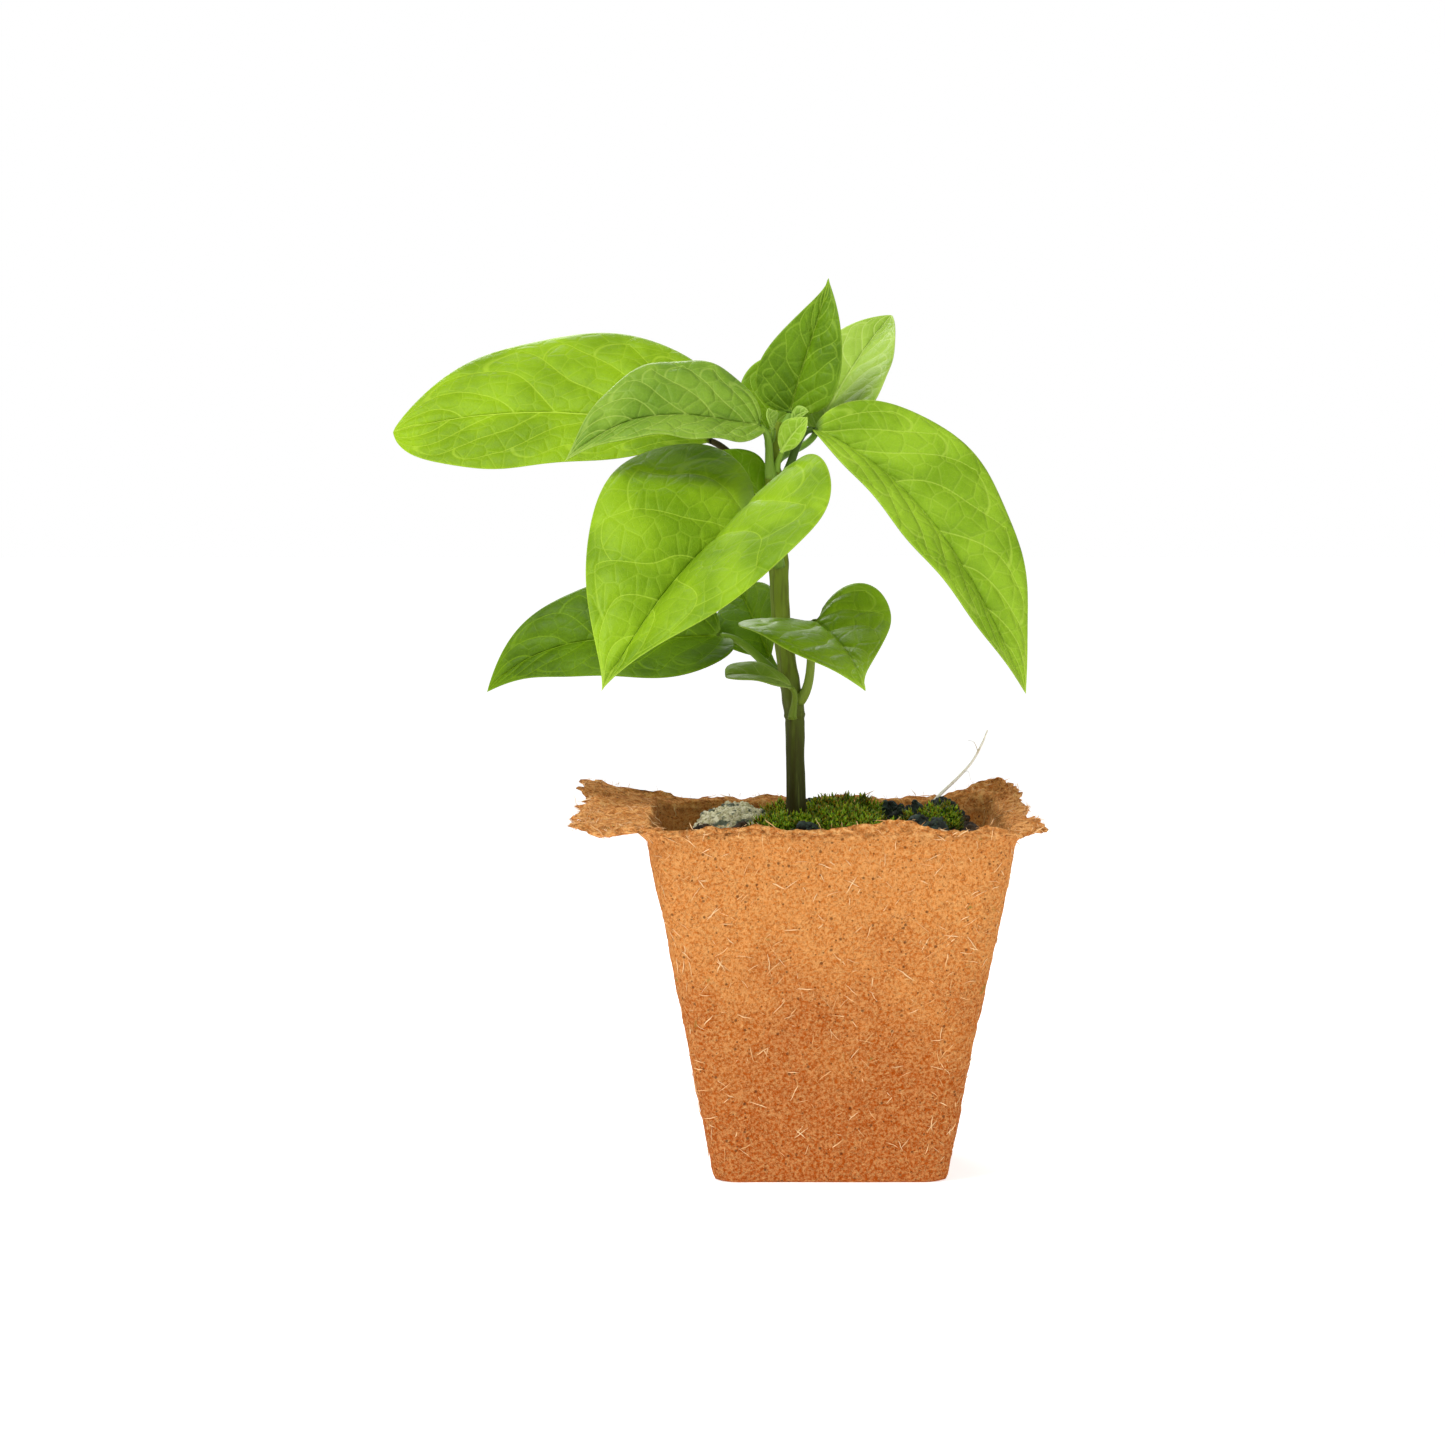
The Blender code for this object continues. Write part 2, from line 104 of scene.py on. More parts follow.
table_mesh = bpy.data.meshes.new("table")
table_corners = [(-1, -1), (1, -1), (1, 1), (-1, 1)]
table_points = [(TABLE_HALF * MM * x, TABLE_HALF * MM * y, 0) for x, y in table_corners]
table_mesh.from_pydata(table_points, [], [(0, 1, 2, 3)])
table = in_scene("table", table_mesh)
table_white = bpy.data.materials.new("table white")
table_white.use_nodes = True
table_shader = table_white.node_tree.nodes["Principled BSDF"]
table_shader.inputs["Base Color"].default_value = (0.8, 0.8, 0.8, 1)
table_shader.inputs["Roughness"].default_value = 0.7
table_shader.inputs["Specular IOR Level"].default_value = 0.1
table_shader.inputs["Emission Color"].default_value = (1, 1, 1, 1)
table_shader.inputs["Emission Strength"].default_value = TABLE_GLOW
table_mesh.materials.append(table_white)


# ---- Pot
# A square tapering pot of wood fibre, pressed wet in a mould and dried: rough and matte, with fine fibres,
# bark specks and a few spots of algae. Its torn rim still carries part of the sheet that joined it to the
# next pot, and four drain holes are punched in its floor.

POT_HEIGHT, POT_FOOT = 80.0, 1.6
POT_BASE_HALF, POT_TOP_HALF = 26.0, 41.2
POT_BASE_CORNER, POT_TOP_CORNER = 5.0, 8.0
POT_WALL, POT_FLOOR = 2.0, 2.5
LIP_LEFT, LIP_RIGHT, LIP_FRONT, LIP_BACK = 15.0, 4.6, 0.8, 4.0  # how far the torn lip stands out
LIP_THICK, LIP_CORNER = 1.0, 9.0
LIP_CURL_LEFT, LIP_CURL_RIGHT = 5.2, 5.4  # how far its two back corners turn up
DRAIN_RADIUS, DRAIN_OFFSET, DRAIN_SIDES = 3.0, 12.0, 32
FLOOR_CENTRE_HALF = 3.6  # half of the smallest square of the floor's mesh
ARC_STEPS, SIDE_STEPS = 14, 118  # points along a corner and a side of an outline
WALL_ROWS, INNER_WALL_ROWS = 58, 24
FIBRE_LONG, FIBRE_WIDE = 3.4, 0.34  # the fibres that the wall is pressed of
LOW_SHADE_FROM, LOW_SHADE_FULL = 66.0, 18.0  # heights between which the wall is painted darker and redder, as shade
TORN_FROM, TORN_FULL = 3.2, 1.4  # depths below the top between which the torn lip begins
FIBRE_TAN = (0.54, 0.185, 0.038)
# the next colour is a darker, redder fibre tone: it serves the dark grain and the painted shade low on the
# wall
FIBRE_DARK_GRAIN_AND_SHADE = (0.33, 0.056, 0.001)
FIBRE_PALE = (0.84, 0.48, 0.18)
# the second of the next two colours is the painted shade in the torn lip's crevices
FIBRE_DEEP, FIBRE_CREVICE_SHADE = (0.30, 0.075, 0.012), (0.16, 0.055, 0.012)
FIBRE_BARK = (0.09, 0.03, 0.01)
FIBRE_ALGAE = (0.13, 0.14, 0.02)


class Value:
    """One output of a node; arithmetic on it adds the Math or Vector Math nodes."""

    def __init__(self, socket):
        self.socket = socket

    def other(self, name):
        return Value(self.socket.node.outputs[name])

    def math(self, operation, *terms):
        vector = any(isinstance(t, Value) and t.socket.type == "VECTOR" for t in terms)
        kind = "ShaderNodeVectorMath" if vector else "ShaderNodeMath"
        node = self.socket.id_data.nodes.new(kind)
        node.operation = operation
        for place, term in enumerate(terms):
            if vector and not isinstance(term, Value) and np.ndim(term) == 0:
                term = (term,) * 3
            plug(node.inputs[place], term)
        return Value(node.outputs[0])

    def __add__(self, term):
        return self.math("ADD", self, term)

    def __sub__(self, term):
        return self.math("SUBTRACT", self, term)

    def __rsub__(self, term):
        return self.math("SUBTRACT", term, self)

    def __mul__(self, term):
        return self.math("MULTIPLY", self, term)

    def __truediv__(self, term):
        return self.math("DIVIDE", self, term)

    def __pow__(self, term):
        return self.math("POWER", self, term)

    def __abs__(self):
        return self.math("ABSOLUTE", self)

    __radd__, __rmul__ = __add__, __mul__


def plug(socket, value):
    """Feeds a socket with another node's output, or sets it."""
    if isinstance(value, Value):
        socket.id_data.links.new(value.socket, socket)
    elif socket.type == "RGBA" and len(value) == 3:
        socket.default_value = (*value, 1)
    else:
        socket.default_value = value


class Recipe:
    """A node tree that is being written."""

    def __init__(self, tree):
        self.tree = tree

    def add(self, kind, settings=None, sockets=None):
        """A node: its settings first, then the values or links of its sockets. Gives its first output."""
        node = self.tree.nodes.new(kind)
        for key, value in (settings or {}).items():
            setattr(node, key, value)
        for key, value in (sockets or {}).items():
            plug(node.inputs[key], value)
        shown = [out for out in node.outputs if out.enabled]
        return Value(shown[0]) if shown else node


class Finish(Recipe):
    """A material: a Principled shader, fed with what varies over the surface."""

    def __init__(self, name, constants):
        self.material = bpy.data.materials.new(name)
        self.material.use_nodes = True
        super().__init__(self.material.node_tree)
        self.shader = self.tree.nodes["Principled BSDF"]
        for key, value in constants.items():
            plug(self.shader.inputs[key], value)
        self.place = self.add("ShaderNodeTexCoord").other("Object") * (1 / MM)

    def attribute(self, name, output="Fac"):
        return self.add("ShaderNodeAttribute", {"attribute_name": name}).other(output)

    def noise(self, cell, detail=2.0, place=None, rough=0.5):
        """Smooth noise with lumps about one cell across, from 0 to 1 around 0.5."""
        sockets = {"Vector": self.place if place is None else place, "Scale": 1 / cell, "Detail": detail}
        return self.add("ShaderNodeTexNoise", None, {**sockets, "Roughness": rough})

    def cells(self, cell, settings=None, place=None):
        """Distances in a pattern of cells about one cell across."""
        sockets = {"Vector": self.place if place is None else place, "Scale": 1 / cell}
        return self.add("ShaderNodeTexVoronoi", settings, sockets)

    def ramp(self, value, low, high):
        """0 below low, 1 above high, smooth between; low may be above high."""
        flip = low > high
        sockets = {"Value": value, "From Min": min(low, high), "From Max": max(low, high)}
        step = self.add("ShaderNodeMapRange", {"interpolation_type": "SMOOTHSTEP"}, sockets)
        return 1 - step if flip else step

    def mix(self, share, first, second):
        """Two colours mixed: the first at share 0, the second at share 1."""
        node = self.tree.nodes.new("ShaderNodeMix")
        node.data_type = "RGBA"
        for socket, value in ((0, share), (6, first), (7, second)):
            plug(node.inputs[socket], value)
        return Value(node.outputs[2])

    def done(self, colour, roughness, height=None, depth=0.1):
        """Colour, roughness and, as bumps of a depth in mm, height."""
        plug(self.shader.inputs["Base Color"], colour)
        plug(self.shader.inputs["Roughness"], roughness)
        if height is not None:
            sockets = {"Height": height, "Distance": depth * MM, "Strength": 1.0}
            plug(self.shader.inputs["Normal"], self.add("ShaderNodeBump", None, sockets))
        return self.material


def bumps(points, cell, seed=0):
    """Smooth random heights from -1 to 1 at points in space, with lumps about one cell across."""
    place = np.asarray(points, float) / cell + 31.7 * seed + 1000
    corner = np.floor(place).astype(np.int64)
    share = place - corner
    share = share * share * (3 - 2 * share)
    total = np.zeros(place.shape[:-1])
    for step in np.ndindex(2, 2, 2):
        x, y, z = np.moveaxis(corner + np.array(step), -1, 0)
        code = (x * 73856093) ^ (y * 19349663) ^ (z * 83492791)
        code = ((code ^ (code >> 13)) * 12741261) & 0xFFFFFF
        weight = np.prod(np.where(np.array(step) == 1, share, 1 - share), axis=-1)
        total += weight * (code / 0x7FFFFF - 1)
    return total


def rounded_box(left, right, front, back, corner, arc=ARC_STEPS, side=SIDE_STEPS):
    """Anticlockwise outline of a box with round corners."""
    centres = ((right - corner, front + corner), (right - corner, back - corner),
               (left + corner, back - corner), (left + corner, front + corner))
    corners = []
    for k, (cx, cy) in enumerate(centres):
        turns = [pi / 2 * (k - 1 + i / arc) for i in range(arc + 1)]
        corners.append([(cx + corner * cos(a), cy + corner * sin(a)) for a in turns])
    outline = []
    for k in range(4):
        outline += corners[k]
        (x0, y0), (x1, y1) = corners[k][-1], corners[(k + 1) % 4][0]
        shares = [i / side for i in range(1, side)]
        outline += [(x0 + (x1 - x0) * s, y0 + (y1 - y0) * s) for s in shares]
    return np.array(outline)


def at_height(outline, height):
    return np.column_stack([outline, np.broadcast_to(height, len(outline))])


def skin(rings):
    """Points and faces of a closed skin over rings that turn anticlockwise seen from the last one."""
    rings = np.asarray(rings, float)
    rows, count = rings.shape[:2]
    points = np.concatenate([rings.reshape(-1, 3), [rings[0].mean(0), rings[-1].mean(0)]])
    here = np.arange(count)
    after = (here + 1) % count
    faces = []
    for row in range(rows - 1):
        low, high = row * count, (row + 1) * count
        faces += np.stack([low + here, low + after, high + after, high + here], 1).tolist()
    first, last = rows * count, rows * count + 1
    faces += [(first, b, a) for a, b in zip(here.tolist(), after.tolist())]
    top = (rows - 1) * count
    faces += [(last, top + a, top + b) for a, b in zip(here.tolist(), after.tolist())]
    return points, faces


def piece(name, points, faces, material):
    """An object from points in millimetres, shaded smooth."""
    mesh = bpy.data.meshes.new(name)
    mesh.from_pydata((np.asarray(points) * MM).tolist(), [], faces)
    mesh.shade_smooth()
    mesh.materials.append(material)
    return in_scene(name, mesh)


def belongs(made, slot, *nodes):
    """A finished piece rides with the plant and stands for its CAD nodes; its slot is not used."""
    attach(made, "root")
    if nodes:
        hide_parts(*nodes)
    return made


def pressed_fibre():
    """Pressed wood fibre: tan, painted darker and redder low down as shade, crossed by fine fibres and dotted
    with bark and algae.
    """
    fibre = Finish("pressed wood fibre", {"Specular IOR Level": 0.03})
    ways = [(0.94, 0.2, 0.28), (-0.7, 0.3, 0.64), (0.2, 0.96, 0.18), (0.1, 0.66, -0.74), (0.5, -0.5, 0.7)]
    lanes = []
    for k, way in enumerate(ways):
        way = np.array(way) / np.linalg.norm(way)
        across = np.cross(way, (0.3, -0.4, 0.86))
        across /= np.linalg.norm(across)
        up = np.cross(way, across)
        shares = []
        for axis, stretch in ((way, FIBRE_LONG), (across, FIBRE_WIDE), (up, FIBRE_WIDE)):
            sockets = {0: fibre.place, 1: tuple(axis)}
            dot = fibre.add("ShaderNodeVectorMath", {"operation": "DOT_PRODUCT"}, sockets)
            shares.append(dot.other("Value") / stretch + 7.3 * k)
        along = fibre.add("ShaderNodeCombineXYZ", None, dict(zip("XYZ", shares)))
        lanes.append(fibre.noise(1.0, 1.0, along))
    first, second, third, fourth, fifth = lanes
    raised = fibre.ramp(first.math("MAXIMUM", first, second.math("MAXIMUM", second, third)), 0.6, 0.75)
    sunk = fibre.ramp(fourth.math("MAXIMUM", fourth, fifth), 0.6, 0.74)
    broad = fibre.noise(16.0, 3.0)
    grain = fibre.noise(0.7, 3.0, rough=0.7)
    height = fibre.add("ShaderNodeSeparateXYZ", None, {0: fibre.place}).other("Z")
    # painted shade: the wall turns darker and redder towards the bottom, in wandering patches
    low_shade = fibre.ramp(height + (broad - 0.5) * 60, LOW_SHADE_FROM, LOW_SHADE_FULL)
    body = fibre.mix(low_shade, FIBRE_TAN, FIBRE_DARK_GRAIN_AND_SHADE)
    body = fibre.mix(fibre.ramp(grain, 0.36, 0.68) * 0.42, body, FIBRE_PALE)
    body = fibre.mix(fibre.ramp(grain, 0.5, 0.3) * 0.5, body, FIBRE_DARK_GRAIN_AND_SHADE)
    body = fibre.mix(raised * 0.42, body, FIBRE_PALE)
    body = fibre.mix(sunk * 0.4, body, FIBRE_DEEP)
    speck = fibre.cells(2.3, {"feature": "F1"})
    chosen = fibre.ramp(fibre.add("ShaderNodeSeparateColor", None, {0: speck.other("Color")}), 0.62, 0.7)
    dark = fibre.ramp(speck, 0.19, 0.1) * chosen
    fine_speck = fibre.cells(0.9, {"feature": "F1"})
    few = fibre.ramp(fibre.add("ShaderNodeSeparateColor", None, {0: fine_speck.other("Color")}), 0.84, 0.87)
    dark = dark.math("MAXIMUM", dark, fibre.ramp(fine_speck, 0.3, 0.16) * few)
    body = fibre.mix(dark * 0.72, body, FIBRE_BARK)
    algae = fibre.ramp(fibre.noise(5.5, 3.0, fibre.place + 40.0), 0.7, 0.76) * fibre.ramp(grain, 0.42, 0.6)
    body = fibre.mix(algae * 0.8, body, FIBRE_ALGAE)
    # the torn lip is coarser than the pressed wall: painted shade darkens the crevices between flakes, and
    # painted light makes the raised flakes paler
    flake = fibre.noise(1.9, 4.0, fibre.place * (1.0, 1.0, 1.8), 0.7)
    torn = fibre.ramp(height, POT_HEIGHT - TORN_FROM, POT_HEIGHT - TORN_FULL)
    crevice_shade = fibre.ramp(flake, 0.52, 0.36) * torn
    body = fibre.mix(crevice_shade * 0.5, body, FIBRE_CREVICE_SHADE)
    # painted light: the raised flakes of the torn lip are made paler
    body = fibre.mix(fibre.ramp(flake, 0.5, 0.66) * torn * 0.7, body, FIBRE_PALE)
    relief = raised * 0.5 + grain * 0.9 - sunk * 0.35 - dark * 0.3 + flake * torn * 2.2
    return fibre.done(body, 0.86 + grain * 0.1, relief, 0.32)


def wall_half(height):
    return POT_BASE_HALF + (POT_TOP_HALF - POT_BASE_HALF) * height / POT_HEIGHT


def wall_corner(height):
    return POT_BASE_CORNER + (POT_TOP_CORNER - POT_BASE_CORNER) * height / POT_HEIGHT


def square_ring(half, corner, height):
    return at_height(rounded_box(-half, half, -half, half, corner), height)


def rim_wave(x, y):
    """How the rim rises and falls: a slow wave, two low humps in front, and two turned-up back corners."""
    slow = 0.35 * np.sin(0.41 * x + 0.9 * np.sin(0.23 * y))
    slow = slow + 0.35 * np.sin(0.53 * y + 1.3 * np.sin(0.31 * x) + 1)
    front = np.clip((-30 - y) / 8, 0, 1)
    humps = 1.3 * np.exp(-((x + 18.5) / 3.6) ** 2) + 2.0 * np.exp(-((x - 11.5) / 8.0) ** 2)
    left = np.clip(1 - np.hypot(x + 56, y - 43) / 26, 0, 1) ** 1.5
    right = np.clip(1 - np.hypot(x - 42, y - 43) / 20, 0, 1) ** 1.5
    return 0.5 + slow + front * (humps - 0.3) + LIP_CURL_LEFT * left + LIP_CURL_RIGHT * right


def lip_ring(share, height):
    """A ring on the lip: share 0 is at the wall, 1 at the torn edge."""
    half = POT_TOP_HALF
    inner = rounded_box(-half, half, -half, half, POT_TOP_CORNER)
    outer = rounded_box(-half - LIP_LEFT, half + LIP_RIGHT, -half - LIP_FRONT, half + LIP_BACK, LIP_CORNER)
    reach = np.linalg.norm(outer - inner, axis=1)
    edge = at_height(outer, 0)
    ragged = 1.5 * bumps(edge, 9, 1) + 1.2 * bumps(edge, 3.1, 2) + 1.3 * bumps(edge, 1.3, 3)
    ragged *= np.clip(reach / 7, 0.35, 1.15)
    far = share * (1 + share * ragged / np.maximum(reach, 3))
    flat = inner + (outer - inner) * far[:, None]
    return at_height(flat, height + np.minimum(share * 1.25, 1) * rim_wave(*flat.T))


def fluffed(rings, amount):
    """Roughens a stack of rings by lumps and fine fibre relief."""
    rings = np.array(rings)
    for axis in range(3):
        rough = 0.6 * bumps(rings, 6.5, 11 + axis) + 0.5 * bumps(rings, 2.4, 21 + axis)
        rough += 0.4 * bumps(rings, 1.1, 31 + axis)
        rings[..., axis] += np.asarray(amount)[:, None] * rough
    return rings


under, top = POT_HEIGHT - LIP_THICK, POT_HEIGHT
inner_floor = wall_half(POT_FLOOR) - POT_WALL
pot_rings = [
    (square_ring(FLOOR_CENTRE_HALF, 1.5, 0.0), 0.0),
    (square_ring(POT_BASE_HALF - POT_FOOT * 1.4, POT_BASE_CORNER - 1, 0.0), 0.0),
    (square_ring(POT_BASE_HALF - POT_FOOT * 0.6, POT_BASE_CORNER, 0.0), 0.05),
    (square_ring(wall_half(POT_FOOT * 0.4) - 0.3, POT_BASE_CORNER, POT_FOOT * 0.3), 0.3),
]
for wall_height in np.linspace(POT_FOOT, under - 2.2, WALL_ROWS):
    # the press draws the wall in a little between its corners
    waist = 0.15 * sin(pi * wall_height / under)
    ring = square_ring(wall_half(wall_height) - waist, wall_corner(wall_height), wall_height)
    pot_rings.append((ring, 0.36))
pot_rings += [(lip_ring(share, under - 1.2 * (1 - share / 0.2) ** 2), 0.7) for share in (0.04, 0.1, 0.2)]
pot_rings += [(lip_ring(share, under), 0.9) for share in (0.3, 0.4, 0.5, 0.6, 0.7, 0.8, 0.9)]
pot_rings += [
    (lip_ring(0.98, under + 0.2), 1.0), (lip_ring(1.03, under + 0.7), 1.0), (lip_ring(1.0, top - 0.2), 1.0),
]
pot_rings += [(lip_ring(share, top), 1.0) for share in np.linspace(0.94, 0.06, 14)]
rim_outline = rounded_box(-POT_TOP_HALF, POT_TOP_HALF, -POT_TOP_HALF, POT_TOP_HALF, POT_TOP_CORNER)
rim_lift = rim_wave(*rim_outline.T)
for drop, inset, lifted in ((0.0, 0.5, 0.75), (0.5, 1.2, 0.6), (1.4, 1.8, 0.4), (3.0, POT_WALL, 0.2)):
    ring = square_ring(POT_TOP_HALF - inset, POT_TOP_CORNER - inset * 0.5, top - drop)
    ring[:, 2] += lifted * rim_lift
    pot_rings.append((ring, 0.7))
for wall_height in np.linspace(top - 5, POT_FLOOR + 1.5, INNER_WALL_ROWS):
    ring = square_ring(wall_half(wall_height) - POT_WALL, wall_corner(wall_height) - 1, wall_height)
    pot_rings.append((ring, 0.8))
pot_rings += [
    (square_ring(inner_floor - 1.0, 3.5, POT_FLOOR), 0.15),
    (square_ring(FLOOR_CENTRE_HALF, 1.5, POT_FLOOR), 0.0),
]
pot_points, pot_faces = skin(fluffed([ring for ring, _ in pot_rings], [rough for _, rough in pot_rings]))
pot = piece("pot_body", pot_points, pot_faces, pressed_fibre())
pot.data.validate()
drills = []
for k, (side_x, side_y) in enumerate(((-1, -1), (1, -1), (1, 1), (-1, 1))):
    turns = np.linspace(0, tau, DRAIN_SIDES, endpoint=False)
    circle = np.column_stack([DRAIN_RADIUS * np.cos(turns), DRAIN_RADIUS * np.sin(turns)])
    circle += np.array([side_x, side_y]) * DRAIN_OFFSET
    drill_skin = skin([at_height(circle, -2), at_height(circle, POT_FLOOR + 2)])
    drill = piece(f"drill_{k}", *drill_skin, pot.active_material)
    hole = pot.modifiers.new(f"drain hole {k}", "BOOLEAN")
    hole.object = drill
    hole.operation = "DIFFERENCE"
    drills.append(drill)


def settled(made):
    """Turns an object and its live modifiers into a plain mesh of the same name."""
    looked_at = made.evaluated_get(bpy.context.evaluated_depsgraph_get())
    mesh = bpy.data.meshes.new_from_object(looked_at)
    made.modifiers.clear()
    made.data = mesh
    mesh.name = made.name
    return made


settled(pot)
for drill in drills:
    bpy.data.objects.remove(drill)
belongs(pot, "pot_fibre", "pot")


# ---- Loose wood strands on the pot
# Pale splinters of wood lie pressed into the wall, and finer fibres stand out of the torn rim like lint.
# Both are strewn by one Geometry Nodes recipe: a bent sliver is set on a random spot and turned any way.

STRAND_SIDES, STRAND_JOINTS = 3, 7
STRANDS_PER_MM2 = 0.055
STRAND_LENGTH, STRAND_THICK = (1.2, 4.8), 0.2
STRAND_CLEAR = 5.2  # none starts lower than this, so that none reaches below the pot's foot
LINT_PER_MM2 = 0.7
LINT_LENGTH, LINT_THICK = (0.5, 1.7), 0.075


def sliver(name):
    """One strand along +X from the origin, 1 mm long and 1 mm thick, pointed at both ends."""
    joints = np.linspace(0, 1, STRAND_JOINTS)
    turns = np.linspace(0, tau, STRAND_SIDES, endpoint=False)
    rings = [[(x, 0.5 * w * cos(a), 0.5 * w * sin(a)) for a in turns] for x, w in
             zip(joints, (0.15, 0.7, 1, 1, 0.9, 0.6, 0.1))]
    return piece(name, *skin(rings), pot.active_material)


class Growth(Recipe):
    """A Geometry Nodes recipe: it takes a piece and a few named sizes, and gives what grows or lies on it."""

    def __init__(self, name, sizes):
        super().__init__(bpy.data.node_groups.new(name, "GeometryNodeTree"))
        faces = self.tree.interface
        faces.new_socket("Geometry", in_out="INPUT", socket_type="NodeSocketGeometry")
        for label, value in sizes.items():
            kind = "NodeSocketMaterial" if value is None else "NodeSocketFloat"
            made = faces.new_socket(label, in_out="INPUT", socket_type=kind)
            if value is not None:
                made.default_value = value
        faces.new_socket("Geometry", in_out="OUTPUT", socket_type="NodeSocketGeometry")
        self.source = self.tree.nodes.new("NodeGroupInput")
        self.result = self.tree.nodes.new("NodeGroupOutput")

    def given(self, label):
        return Value(self.source.outputs[label])

    def random(self, low, high, seed, kind="FLOAT"):
        """A random number, or vector, between two limits for each point."""
        node = self.tree.nodes.new("FunctionNodeRandomValue")
        node.data_type = kind
        first = 0 if kind == "FLOAT_VECTOR" else 2
        plug(node.inputs[first], low)
        plug(node.inputs[first + 1], high)
        node.inputs["Seed"].default_value = seed
        return Value(node.outputs[0 if kind == "FLOAT_VECTOR" else 1])

    def finish(self, geometry):
        """Realizes the copies, gives them the material, and ends the recipe."""
        real = self.add("GeometryNodeRealizeInstances", None, {0: geometry})
        real = self.add("GeometryNodeSetShadeSmooth", None, {0: real})
        real = self.add("GeometryNodeSetMaterial", None, {0: real, "Material": self.given("Material")})
        plug(self.result.inputs[0], real)
        return self.tree


def grown(name, tree, base, sizes):
    """A new piece: what a recipe makes on a copy of a base piece, with sizes set by socket identifier."""
    made = in_scene(name, base.data.copy())
    live = made.modifiers.new(tree.name, "NODES")
    live.node_group = tree
    for item in tree.interface.items_tree:
        if item.in_out == "INPUT" and item.name in sizes:
            live[item.identifier] = sizes[item.name]
    return settled(made)


def strewn_strands(name, sliver_piece, seed, stand_up):
    """Slivers on a surface: lying in it (stand_up 0) or standing out of it (stand_up 1)."""
    sizes = {"Per mm2": 1.0, "Shortest": 1.0, "Longest": 2.0, "Thickness": 0.2, "Bend": 0.5, "Material": None}
    strew = Growth(name, sizes)
    level = strew.add("ShaderNodeSeparateXYZ", None, {0: strew.add("GeometryNodeInputPosition")}).other("Z")
    clear = strew.add("FunctionNodeCompare", {"operation": "GREATER_THAN"}, {0: level, 1: STRAND_CLEAR * MM})
    spots = strew.add("GeometryNodeDistributePointsOnFaces", {"distribute_method": "RANDOM"}, {
        "Mesh": strew.given("Geometry"), "Selection": clear,
        "Density": strew.given("Per mm2") * (1 / MM**2), "Seed": seed})
    out = spots.other("Normal")
    spin = strew.random((-1,) * 3, (1,) * 3, seed + 1, "FLOAT_VECTOR")
    if stand_up:
        way = out * 0.8 + spin
    else:
        way = spin.math("CROSS_PRODUCT", spin, out) + out * 0.03
    turned = strew.add("FunctionNodeAlignRotationToVector", {"axis": "X"}, {"Vector": way})
    length = strew.random(strew.given("Shortest") * MM, strew.given("Longest") * MM, seed + 2)
    thick = strew.given("Thickness") * strew.random(0.6 * MM, 1.3 * MM, seed + 3)
    shape = strew.add("ShaderNodeCombineXYZ", None, {"X": length, "Y": thick, "Z": thick})
    one = strew.add("GeometryNodeObjectInfo", None, {"Object": sliver_piece}).other("Geometry")
    copies = strew.add("GeometryNodeInstanceOnPoints", None, {
        "Points": spots, "Instance": one, "Rotation": turned, "Scale": shape})
    real = strew.add("GeometryNodeRealizeInstances", None, {0: copies})
    wind = strew.add("ShaderNodeTexNoise", None, {"Scale": 420.0, "Detail": 1.0}).other("Color")
    drift = strew.add("ShaderNodeVectorMath", {"operation": "SUBTRACT"}, {0: wind, 1: (0.5,) * 3})
    moved = strew.add("GeometryNodeSetPosition", None, {
        "Geometry": real, "Offset": drift * (strew.given("Bend") * MM)})
    return strew.finish(moved)


sliver_shape = sliver("sliver_shape")
for k, point in enumerate(sliver_shape.data.vertices):
    point.co = point.co / MM
straw_wood = Finish("pale wood strand", {"Specular IOR Level": 0.3})
straw_tone = straw_wood.noise(5.0, 2.0)
straw_colour = straw_wood.mix(straw_wood.ramp(straw_tone, 0.4, 0.62), (0.86, 0.58, 0.30), (0.68, 0.34, 0.12))
straw_wood = straw_wood.done(straw_colour, 0.72 + straw_tone * 0.2)

strands = grown("pot_strands", strewn_strands("strewn strands", sliver_shape, 3, 0), pot, {
    "Per mm2": STRANDS_PER_MM2, "Shortest": STRAND_LENGTH[0], "Longest": STRAND_LENGTH[1],
    "Thickness": STRAND_THICK, "Bend": 1.0, "Material": straw_wood})
belongs(strands, "pot_fibre")

# the torn edge and the top of the rim, as a guide that the lint grows on
edge_rings = [lip_ring(0.9, under), lip_ring(1.02, under + 0.7), lip_ring(0.97, top), lip_ring(0.7, top)]
rim_points, rim_faces = skin(fluffed(edge_rings, [1.0] * 4))
ring_size = len(edge_rings[0])
rim_strip = piece("rim_strip", rim_points, rim_faces[:3 * ring_size], straw_wood)

lint = grown("pot_rim_lint", strewn_strands("rim lint", sliver_shape, 9, 1), rim_strip, {
    "Per mm2": LINT_PER_MM2, "Shortest": LINT_LENGTH[0], "Longest": LINT_LENGTH[1],
    "Thickness": LINT_THICK, "Bend": 1.4, "Material": straw_wood})
belongs(lint, "pot_fibre")
bpy.data.objects.remove(rim_strip)
bpy.data.objects.remove(sliver_shape)


# ---- Root ball
# Dark potting soil held together by the roots. It fills the lower pot; above that it has dried and shrunk
# away from the wall, which leaves a gutter, and its top is crumbly.

SOIL_BOTTOM, SOIL_SHOULDER, SOIL_TOP = 2.8, 57.0, 77.0
SOIL_LEFT, SOIL_RIGHT, SOIL_FRONT, SOIL_BACK = -29.0, 33.0, -33.5, 34.0  # edges of its top
SOIL_EDGE_ROWS, SOIL_TOP_ROWS = 22, 40
SOIL_GUTTER_FROM = 63.0  # above this height the soil keeps clear of the wall
CRUMBS_PER_MM2, CRUMB_SIZE = 0.16, (0.9, 3.0)
SOIL_DUST = 0.35
SOIL_DARK, SOIL_BROWN, SOIL_GREY = (0.018, 0.012, 0.008), (0.07, 0.04, 0.02), (0.16, 0.15, 0.12)


